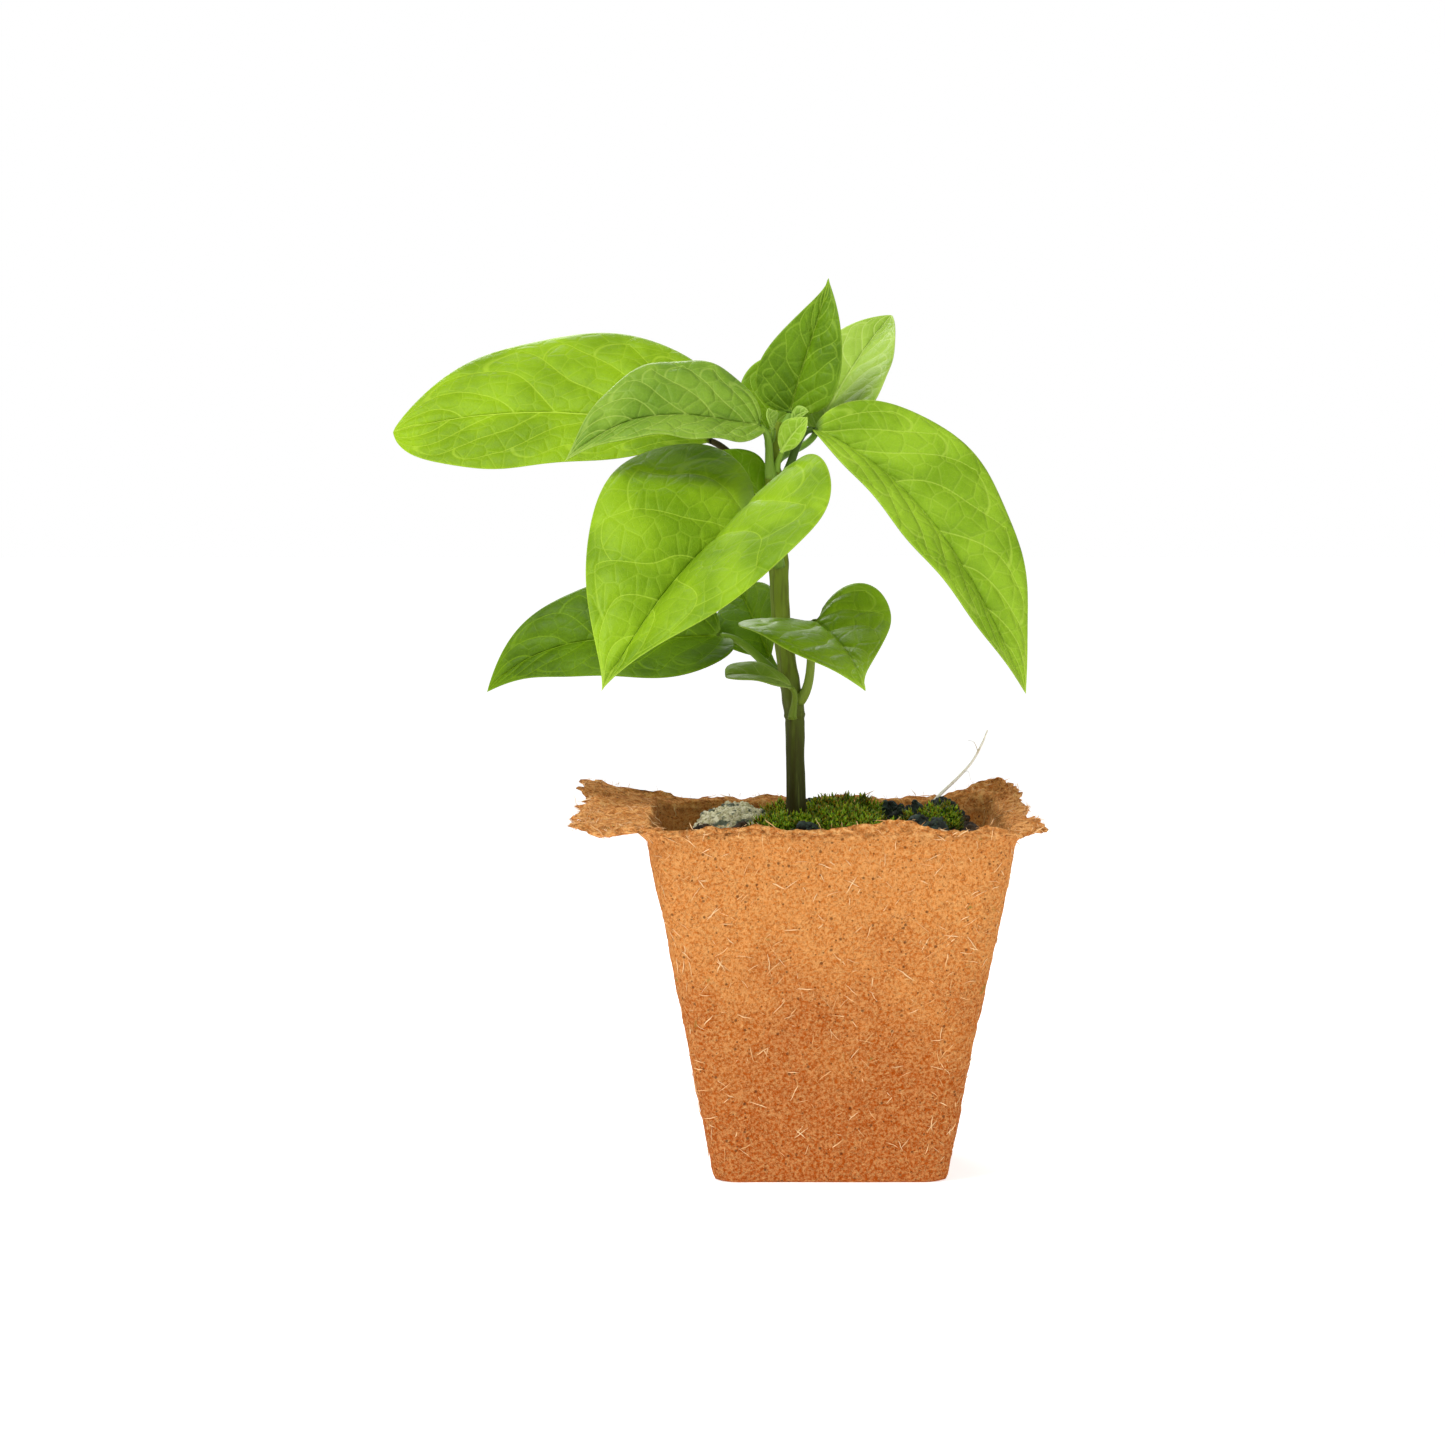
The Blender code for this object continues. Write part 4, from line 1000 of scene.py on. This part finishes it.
# stalk: where the petiole leaves the stem, as height, turn from +X and climb. rib: four points that the
# midrib passes, from the base of the blade to its tip. face: which way the upper side looks at base and tip.
# width: the left and right half at their widest, at the share "widest" of the length, and "point" is how
# sharply the blade runs to its tip. fold: how far each half rises from flat, at base and tip, in degrees.
# lobe: how far each half sweeps back past the base. curl: how much each half bends down across its width.
# wave: height of the margin's waves and how many there are. veins: how many side veins a half has, and "lead"
# is how far they run ahead. quilt: how far the tissue bulges between veins. Tones are display colours from 0
# to 255.
LEAVES = {
    "leaf_left_long": dict(
        stalk=(147, 143, 45),
        rib=((-27, 9, 165), (-51, 13, 170.5), (-76, 16, 171), (-100, 18, 167)),
        face=((0, -4, 3), (0, -4, 3)), width=(15.5, 25), widest=(0.6, 0.41), point=(0.5, 0.85),
        fold=((25, 0), (20, -5)), lobe=(4, 4), curl=(-10, -25), wave=(0.6, 2.5), veins=6, lead=0.45,
        quilt=0.45, deep=(96, 130, 0), fresh=(142, 178, 14), vein=(176, 204, 60), stalk_tone=(58, 48, 22),
    ),
    "leaf_left_folded": dict(
        stalk=(157, 238, 55),
        rib=((-16, -4, 168), (-30, -9, 170), (-44, -14, 169), (-59, -18, 160)),
        face=((0, -3, 4), (0, -3, 4)), width=(12.5, 15.5), widest=(0.36, 0.36), point=(1.2, 1.2),
        fold=((20, 10), (28, 20)), lobe=(4, 4), curl=(-20, -30), wave=(0.5, 3.5), veins=7, lead=0.34,
        quilt=0.75, deep=(84, 120, 24), fresh=(132, 164, 52), vein=(170, 194, 90), stalk_tone=(116, 148, 52),
    ),
    "leaf_front_broad": dict(
        stalk=(137, 268, 45),
        rib=((-19, -17, 146.5), (-31, -29, 137.5), (-41, -40, 125), (-50, -49, 110.5)),
        face=((-1, -7, 7), (-1, -7, 7)), width=(34, 29), widest=(0.33, 0.25), point=(1.8, 1.3),
        fold=((85, 26), (5, 12)), lobe=(25, 24), curl=(-25, -35), wave=(1.0, 2.6), veins=5, lead=0.36,
        quilt=0.5, deep=(86, 122, 0), fresh=(144, 180, 26), vein=(176, 206, 66), stalk_tone=(110, 140, 50),
    ),
    "leaf_top_upright": dict(
        stalk=(165, 68, 70),
        rib=((-8.5, 3, 171.5), (-6, 2, 181), (-2.5, 1, 192), (0, 3, 201.5)),
        face=((-1, -9, 1), (-1, -9, 1)), width=(10, 10), widest=(0.28, 0.33), point=(1.75, 1.4),
        fold=((25, 20), (25, 20)), lobe=(2, 2), curl=(-20, -20), wave=(0.25, 3), veins=7, lead=0.3,
        quilt=0.6, deep=(60, 92, 0), fresh=(104, 140, 14), vein=(146, 178, 54), stalk_tone=(110, 146, 48),
    ),
    "leaf_back_right": dict(
        stalk=(161, 35, 25),
        rib=((-2.5, 8.5, 167), (2.5, 15.5, 176), (8.5, 24.5, 185.5), (15.5, 31.5, 194.5)),
        face=((-3, -6, 7), (-3, -6, 7)), width=(12, 14), widest=(0.45, 0.25), point=(0.9, 0.75),
        fold=((20, 15), (20, 15)), lobe=(1, 1), curl=(-15, -15), wave=(0.3, 2.5), veins=6, lead=0.34,
        quilt=0.35, deep=(112, 148, 30), fresh=(160, 190, 74), vein=(190, 212, 116), stalk_tone=(110, 146, 48),
    ),
    "leaf_right_drooping": dict(
        stalk=(155, 345, 45),
        rib=((-3, -3, 167), (18, -7, 152), (33, -10, 131), (44, -12, 108)),
        face=((3, -7, 6), (6, -7, 4)), width=(19.5, 14.5), widest=(0.37, 0.37), point=(1.15, 1.15),
        fold=((25, 15), (40, 18)), lobe=(4, 4), curl=(-20, -30), wave=(0.5, 3.2), veins=7, lead=0.34,
        quilt=0.7, deep=(98, 134, 6), fresh=(146, 182, 40), vein=(182, 208, 82), stalk_tone=(64, 88, 30),
    ),
    "leaf_back_crown": dict(
        stalk=(158, 85, 50),
        rib=((-13.5, 6, 166), (-11, 9.5, 173.5), (-7.5, 13, 179.5), (-3, 16, 184)),
        face=((0, -8, 4), (0, -8, 4)), width=(10, 8), widest=(0.42, 0.42), point=(1.05, 1.05),
        fold=((15, 10), (15, 10)), lobe=(1, 1), curl=(-10, -10), wave=(0.2, 2), veins=6, lead=0.34,
        quilt=0.3, deep=(86, 124, 0), fresh=(116, 152, 14), vein=(160, 190, 70), stalk_tone=(100, 136, 40),
    ),
    "leaf_inner_small": dict(
        stalk=(149.5, 175, 60),
        rib=((-15.6, 1.6, 152.4), (-18.2, 2.4, 156.2), (-21.4, 2.6, 159.6), (-24.6, 2.6, 162.6)),
        face=((2, -8, 5), (2, -8, 5)), width=(4, 5.5), widest=(0.45, 0.45), point=(1.05, 1.05),
        fold=((20, 15), (20, 15)), lobe=(0, 0), curl=(-15, -15), wave=(0.1, 2), veins=5, lead=0.3,
        quilt=0.2, deep=(106, 148, 0), fresh=(136, 176, 16), vein=(150, 184, 60), stalk_tone=(84, 112, 30),
    ),
    "leaf_low_left": dict(
        stalk=(111, 150, 25),
        rib=((-25, 8, 120.3), (-44, 12, 119.7), (-62.5, 15, 117.3), (-78.5, 17, 107)),
        face=((0, -7, 6), (0, -7, 6)), width=(15.5, 15.5), widest=(0.36, 0.36), point=(1.1, 1.1),
        fold=((20, 15), (20, 15)), lobe=(13.2, 3), curl=(-20, -30), wave=(0.5, 2.5), veins=6, lead=0.36,
        quilt=0.4, deep=(46, 74, 0), fresh=(94, 128, 0), vein=(122, 156, 16), stalk_tone=(116, 146, 44),
    ),
    "leaf_low_back": dict(
        stalk=(108, 105, 30),
        rib=((-13, 8, 115), (-15.5, 13, 121), (-18, 19, 126.5), (-20.5, 25, 131)),
        face=((-4, -5, 7), (-4, -5, 7)), width=(9.5, 8.5), widest=(0.5, 0.5), point=(1.0, 1.0),
        fold=((15, 10), (45, 30)), lobe=(0, 0), curl=(-10, -10), wave=(0.2, 2), veins=5, lead=0.34,
        quilt=0.2, deep=(82, 116, 0), fresh=(106, 140, 2), vein=(126, 158, 20), stalk_tone=(110, 140, 40),
    ),
    "leaf_low_front": dict(
        stalk=(106, 325, 30),
        rib=((-2.8, -9, 124), (1.5, -19.5, 120.2), (4.8, -29.5, 115.6), (7, -39.5, 110)),
        face=((1, -4, 9), (1, -4, 9)), width=(15.5, 19.5), widest=(0.2, 0.26), point=(2.1, 1.3),
        fold=((52, 10), (-4, 6)), lobe=(5, 11), curl=(-20, -20), wave=(0.4, 2.4), veins=5, lead=0.36,
        quilt=0.55, deep=(96, 130, 0), fresh=(146, 182, 30), vein=(166, 194, 66), stalk_tone=(124, 144, 52),
    ),
    "cotyledon": dict(
        stalk=(102, 255, 75),
        rib=((-8.6, -5, 109.2), (-13, -7, 111.2), (-18.2, -8.5, 112.2), (-23.4, -9, 111.9)),
        face=((4, -5, 8), (1, -3, 9)), width=(4.5, 5), widest=(0.65, 0.65), point=(0.28, 0.28),
        fold=((15, 10), (15, 10)), lobe=(0, 0), curl=(-20, -20), wave=(0.15, 2), veins=4, lead=0.3,
        quilt=0.12, deep=(106, 134, 26), fresh=(140, 166, 62), vein=(160, 180, 92), stalk_tone=(112, 134, 42),
    ),
    "tip_leaflet_1": dict(
        stalk=(158, 295, 70),
        rib=((-10.7, -3.6, 162), (-9, -5, 165), (-7, -6.5, 167.5), (-5, -7, 170)),
        face=((-3, -9, 3), (-3, -9, 3)), width=(3.5, 3.5), widest=(0.5, 0.5), point=(1.05, 1.05),
        fold=((25, 20), (25, 20)), lobe=(0, 0), curl=(-10, -10), wave=(0.1, 2), veins=5, lead=0.3,
        quilt=0.15, deep=(112, 150, 20), fresh=(156, 190, 60), vein=(180, 208, 96), stalk_tone=(120, 154, 50),
    ),
    "tip_leaflet_2": dict(
        stalk=(164, 215, 65),
        rib=((-12.6, -3.2, 167.5), (-13.2, -4.2, 169), (-13.6, -5.2, 170.5), (-13.6, -6, 172)),
        face=((4, -7, 5), (4, -7, 5)), width=(2.5, 2.5), widest=(0.5, 0.5), point=(1.05, 1.05),
        fold=((30, 25), (30, 25)), lobe=(0, 0), curl=(-10, -10), wave=(0.1, 2), veins=4, lead=0.3,
        quilt=0.1, deep=(96, 132, 20), fresh=(150, 184, 70), vein=(176, 204, 100), stalk_tone=(120, 154, 50),
    ),
    "tip_leaflet_3": dict(
        stalk=(166, 325, 60),
        rib=((-8.4, -2.4, 169), (-7.2, -2.9, 170.2), (-5.9, -3.3, 171), (-4.6, -3.5, 171.3)),
        face=((-2, -7, 6), (-2, -7, 6)), width=(2, 2), widest=(0.5, 0.5), point=(1.05, 1.05),
        fold=((30, 25), (30, 25)), lobe=(0, 0), curl=(-10, -10), wave=(0.1, 2), veins=4, lead=0.3,
        quilt=0.1, deep=(96, 132, 20), fresh=(150, 184, 70), vein=(176, 204, 100), stalk_tone=(100, 130, 40),
    ),
}


def linear(tone):
    """A display colour from 0 to 255 as linear light."""
    share = np.array(tone) / 255
    return tuple(np.where(share <= 0.04045, share / 12.92, ((share + 0.055) / 1.055) ** 2.4).tolist())


def through_four(points, share):
    """The cubic curve that passes four points at 0, 1/3, 2/3 and 1."""
    knots = (0, 1 / 3, 2 / 3, 1)
    total = np.zeros((len(share), 3))
    for i, point in enumerate(points):
        weight = np.ones(len(share))
        for j in range(4):
            if i != j:
                weight *= (share - knots[j]) / (knots[i] - knots[j])
        total += weight[:, None] * np.array(point, float)
    return total


def rib_frame(leaf, share):
    """Places, directions, right-hand sides and upper sides of the midrib."""
    step = 1e-4
    along = unit(through_four(leaf["rib"], share + step) - through_four(leaf["rib"], share - step))
    start, end = (unit(np.array(way, float)) for way in leaf["face"])
    face = start + (end - start) * share[:, None]
    upper = unit(face - np.sum(face * along, 1, keepdims=True) * along)
    return through_four(leaf["rib"], share), along, np.cross(along, upper), upper


def side_pick(leaf, key, across):
    """A leaf's value for the left or the right half."""
    left, right = leaf[key]
    return np.where(across > 0, right, left)


def blade_shape(leaf, share, across):
    """Half width of the blade, as a share of its widest."""
    widest, point = side_pick(leaf, "widest", across), side_pick(leaf, "point", across)
    base = point * widest / (1 - widest)
    return share**base * (1 - share) ** point / (widest**base * (1 - widest) ** point)


def vein_lane(leaf, share, across):
    """A number that is whole along each side vein and rises towards the tip."""
    reach = np.abs(across)
    lane = leaf["veins"] * (share - leaf["lead"] * reach**1.15)
    uneven = 0.16 * np.sin(9 * share + 2.5 * across) + 0.1 * np.sin(23 * share)
    return lane + np.where(across > 0, 0.35, 0.0) + uneven


def blade_middle(leaf, share, across):
    """The middle of the blade without its fine relief, its upper direction, and its half width in mm."""
    place, along, side, upper = (part[:, None] for part in rib_frame(leaf, share))
    share, across = share[:, None], across[None, :]
    reach = np.abs(across)
    shape = blade_shape(leaf, share, across)
    blunt = np.sqrt(np.clip((1 - share) / BLUNT_TIP, 0, 1))
    least = STALK_RADIUS[1] * leaf["slim"] * blunt * (1 - 0.6 * share)
    half = np.maximum(side_pick(leaf, "width", across) * shape, least)
    (left_base, left_tip), (right_base, right_tip) = leaf["fold"]
    fade = (1 - share) ** FOLD_FADE
    left_fold = left_tip + (left_base - left_tip) * fade
    right_fold = right_tip + (right_base - right_tip) * fade
    fold = np.where(across > 0, right_fold, left_fold)
    curl = side_pick(leaf, "curl", across) * np.minimum(1, shape * 1.5)
    turn = np.radians(fold - curl * 0.5 + curl * 0.5 * reach)
    back = side_pick(leaf, "lobe", across) * reach**1.5 * (1 - share) ** 2 * shape**LOBE_ROUND
    height, count = leaf["wave"]
    wave = height * reach**2.5 * np.sin(tau * count * share + np.where(across > 0, 1.9, 0.4)) * np.sqrt(shape)
    flat = (half * across * np.cos(turn))[..., None] * side
    lift = (half * reach * np.sin(turn) + wave)[..., None] * upper
    return place + flat + lift - back[..., None] * along, half


def stalk_rings(leaf, share, across):
    """The petiole: a curve that grows out of the stem and runs to the base of the blade."""
    height, turn, climb = leaf["stalk"]
    x, y = (np.interp(height, stem_heights, [place[k] for place in STEM_LINE]) for k in (0, 1))
    outward = np.array([cos(radians(turn)), sin(radians(turn)), 0])
    stem_radius = np.interp(height, stem_heights, STEM_RADIUS)
    start = np.array([x, y, height]) + (stem_radius - FOOT_SINK) * outward
    leave = cos(radians(climb)) * outward + sin(radians(climb)) * np.array([0, 0, 1])
    end, arrive, side, upper = (part[0] for part in rib_frame(leaf, np.zeros(1)))
    length = np.linalg.norm(end - start)
    t = share[:, None]
    rings = ((2 * t**3 - 3 * t**2 + 1) * start + (t**3 - 2 * t**2 + t) * length * leave
             + (3 * t**2 - 2 * t**3) * end + (t**3 - t**2) * length * arrive)
    along = unit((6 * t**2 - 6 * t) * start + (3 * t**2 - 4 * t + 1) * length * leave
                 + (6 * t - 6 * t**2) * end + (3 * t**2 - 2 * t) * length * arrive)
    right = unit(side - np.sum(side * along, 1, keepdims=True) * along)
    over = np.cross(right, along)
    radius = (STALK_RADIUS[0] + (STALK_RADIUS[1] - STALK_RADIUS[0]) * share) * leaf["slim"]
    radius = radius * (1 + 0.45 * np.exp(-share * length / 1.6))
    angle = pi / 2 * across
    circle = []
    for sign in (1, -1):
        groove = 0.82 if sign > 0 else 1.0  # a petiole is flatter on top
        turn_across = np.sin(angle)[None, :, None] * right[:, None]
        turn_over = sign * groove * np.cos(angle)[None, :, None] * over[:, None]
        circle.append(rings[:, None] + radius[:, None, None] * (turn_across + turn_over))
    return circle[0], circle[1], length


def leaf_skin(leaf):
    """Upper and lower rows of the leaf, from the petiole's foot to the tip, and what their points carry."""
    widest = max(leaf["width"])
    columns = 2 * int(max(8, widest / CELL)) + 1
    spread = np.linspace(-1, 1, columns)
    across = np.sign(spread) * np.abs(spread) ** 1.2
    length = np.linalg.norm(np.diff(np.array(leaf["rib"], float), axis=0), axis=1).sum()
    rows = int(max(30, 1.15 * length / CELL))
    share = 1 - (1 - np.linspace(0, 1, rows) ** 1.35) ** 1.35
    share[-1] = 0.9997  # a blade of no width has no direction
    middle, half = blade_middle(leaf, share, across)
    down, out = np.gradient(middle, axis=0), np.gradient(middle, axis=1)
    normal = unit(np.cross(out, down))
    lane = vein_lane(leaf, share[:, None], across[None, :])
    speed_u, speed_v = np.gradient(lane, axis=0), np.gradient(lane, axis=1)
    e, f, g = (np.sum(a * b, -1) for a, b in ((down, down), (down, out), (out, out)))
    steep = (g * speed_u**2 - 2 * f * speed_u * speed_v + e * speed_v**2) / np.maximum(e * g - f * f, 1e-6)
    pitch = np.clip(1 / np.sqrt(np.maximum(steep, 1e-4)), 0.4, 30)
    reach = np.abs(across)[None, :]
    phase = lane - np.floor(lane)
    to_vein = np.minimum(phase, 1 - phase) * pitch
    to_vein = np.where(reach < LOOP_START, to_vein, 9.0)
    to_loop = np.abs(reach - (LOOP_START - LOOP_DIP * phase**2)) * half
    to_rib = reach * half
    nearest = np.minimum(np.minimum(to_vein, to_loop), to_rib)
    room = np.clip((1 - reach) * half / 2.5, 0, 1) * np.clip(share[:, None] / 0.03, 0, 1)
    bulge = leaf["quilt"] * (1 - np.exp(-nearest / 1.9)) * room
    net = 0.22 * leaf["quilt"] * bumps(middle, 2.6, 8) * room
    middle = middle + (bulge + net)[..., None] * normal
    down, out = np.gradient(middle, axis=0), np.gradient(middle, axis=1)
    normal = unit(np.cross(out, down))
    rib = STALK_RADIUS[1] * leaf["slim"] * (1 - share[:, None]) ** 0.6
    dome = np.sqrt(np.clip(1 - (to_rib / np.maximum(rib, 1e-3)) ** 2, 0, 1)) * rib
    fine = np.exp(-((to_vein / 0.45) ** 2)) * (1 - 0.6 * reach)
    thick = 0.5 * (MARGIN_THICK + (BLADE_THICK - MARGIN_THICK) * np.clip((1 - reach) * half / 1.2, 0, 1))
    ends = np.clip((1 - share[:, None]) / 0.01, 0.15, 1)
    lift = np.clip(1 - share[:, None] / 0.07, 0, 1) ** 2
    over = np.maximum(thick, dome * lift * 0.82) - VEIN_GROOVE * (1 - lift) * np.exp(-((to_rib / 0.5) ** 2))
    over = over - 0.5 * VEIN_GROOVE * fine * room
    below = np.maximum(thick, dome) + VEIN_RIDGE * fine * room * 0.6
    upper_rows = middle + (over * ends)[..., None] * normal
    lower_rows = middle - (below * ends)[..., None] * normal
    steps = int(max(10, leaf["stalk_length"] / 0.9))
    stalk_share = np.linspace(0, 1, steps, endpoint=False)
    stalk_over, stalk_under, _ = stalk_rings(leaf, stalk_share, across)
    carried = {
        "lane": lane, "across": np.broadcast_to(across, lane.shape),
        "half": np.broadcast_to(half, lane.shape), "pitch": pitch,
        "share": np.broadcast_to(share[:, None], lane.shape),
        "blade": np.clip(share[:, None] / 0.02, 0, 1) * np.ones_like(lane),
    }
    flat = np.stack([across * half, np.broadcast_to(share[:, None] * length, lane.shape)], -1)
    start = {"lane": 0.5, "across": 0.5, "half": 9.0, "pitch": 9.0, "share": 0.0, "blade": 0.0}
    for key, value in start.items():
        carried[key] = np.concatenate([np.full((steps, columns), value), carried[key]])
    flat = np.concatenate([np.zeros((steps, columns, 2)), flat])
    return np.concatenate([stalk_over, upper_rows]), np.concatenate([stalk_under, lower_rows]), carried, flat


def leaf_finish(name, leaf):
    """Living leaf: mottled green with pale veins, paler and duller below, a petiole of its own tone."""
    leaf_green = Finish(name, {
        "Specular IOR Level": 0.13, "Subsurface Weight": 0.06, "Subsurface Radius": (0.8, 1.0, 0.1),
        "Subsurface Scale": 0.0008})
    deep, fresh, vein, stalk_tone = (linear(leaf[key]) for key in ("deep", "fresh", "vein", "stalk_tone"))
    lane, across, half, pitch, share, blade, upper = (
        leaf_green.attribute(key) for key in ("lane", "across", "half", "pitch", "share", "blade", "upper"))
    flat = leaf_green.attribute("flat", "Vector")
    reach = abs(across)
    phase = lane.math("FRACT", lane)
    near = phase.math("MINIMUM", phase, 1 - phase) * pitch
    side_width = 0.3 - reach * 0.16
    inside = leaf_green.ramp(reach, LOOP_START + 0.02, LOOP_START - 0.02)
    side_vein = leaf_green.ramp(near / side_width, 1.0, 0.35) * inside
    loop_line = abs(reach - (LOOP_START - phase * phase * LOOP_DIP)) * half
    loop = leaf_green.ramp(loop_line, 0.3, 0.08) * leaf_green.ramp(share, 0.02, 0.08) * 0.6
    rib_width = (1 - share) * 0.42 + 0.16
    midrib = leaf_green.ramp(reach * half / rib_width, 1.0, 0.5)
    net = leaf_green.cells(4.2, {"feature": "DISTANCE_TO_EDGE", "voronoi_dimensions": "2D"}, flat)
    fine_net = leaf_green.cells(1.3, {"feature": "DISTANCE_TO_EDGE", "voronoi_dimensions": "2D"}, flat)
    net_line = leaf_green.ramp(net, 0.055, 0.015)
    fine_line = leaf_green.ramp(fine_net, 0.12, 0.02)
    patch = leaf_green.noise(13.0, 2.0, leaf_green.place)
    mottle = leaf_green.noise(1.6, 3.0, leaf_green.place)
    tone = leaf_green.ramp(patch + (mottle - 0.5) * 0.2, 0.3, 0.7) * 0.58 + 0.24
    body = leaf_green.mix(tone, deep, fresh)
    # painted shade: the tissue away from the veins is darkened a little towards the deep tone, following the
    # quilted relief
    painted_quilt_shade = leaf_green.ramp(near, 0.2, 2.2) * 0.15
    body = leaf_green.mix(painted_quilt_shade, body, deep)
    lines = side_vein * 0.42
    lines = lines.math("MAXIMUM", lines, midrib * 0.7)
    lines = lines.math("MAXIMUM", lines, loop * 0.5)
    lines = lines.math("MAXIMUM", lines, net_line * 0.15)
    lines = lines.math("MAXIMUM", lines, fine_line * 0.05)
    body = leaf_green.mix(lines * blade, body, vein)
    edge = leaf_green.ramp((1 - reach) * half, 0.4, 0.12) * blade
    body = leaf_green.mix(edge * 0.35, body, vein)
    pale = tuple(0.75 * c + 0.09 for c in fresh)
    body = leaf_green.mix((1 - upper) * 0.35, body, pale)
    body = leaf_green.mix(1 - blade, body, stalk_tone)
    puff = leaf_green.ramp(near, 0.0, 1.7) * 0.45 + leaf_green.ramp(net, 0.0, 0.2) * 0.35
    relief = puff * leaf["quilt"] + mottle * 0.1 - lines * 0.25 - fine_line * 0.04
    return leaf_green.done(body, 0.5 - upper * 0.06 + mottle * 0.1, relief, 0.55)


def make_leaf(name, leaf):
    """One leaf as a closed piece, with what its material reads stored on its points."""
    leaf["slim"] = min(1, 0.45 + leaf["width"][0] / 14)
    leaf["stalk_length"] = stalk_rings(leaf, np.zeros(1), np.zeros(1))[2]
    over, under, carried, flat = leaf_skin(leaf)
    points, faces = skin(np.concatenate([over, under[:, ::-1]], axis=1))
    made = piece(name + "_green", points, faces, leaf_finish(name + " green", leaf))
    for key, rows in carried.items():
        values = np.concatenate([rows, rows[:, ::-1]], axis=1).ravel()
        values = np.concatenate([values, [values[0], values[-1]]])
        made.data.attributes.new(key, "FLOAT", "POINT").data.foreach_set("value", values)
    rows, columns = over.shape[:2]
    upper_side = np.concatenate([np.ones((rows, columns)), np.zeros((rows, columns))], axis=1).ravel()
    upper_side = np.concatenate([upper_side, [0, 1]])
    made.data.attributes.new("upper", "FLOAT", "POINT").data.foreach_set("value", upper_side)
    laid = np.concatenate([flat, flat[:, ::-1]], axis=1).reshape(-1, 2)
    laid = np.column_stack([laid, np.zeros(len(laid))])
    laid = np.concatenate([laid, np.zeros((2, 3))])
    made.data.attributes.new("flat", "FLOAT_VECTOR", "POINT").data.foreach_set("vector", laid.ravel())
    return belongs(made, "leaf", name)


for leaf_name, leaf_design in LEAVES.items():
    make_leaf(leaf_name, leaf_design)
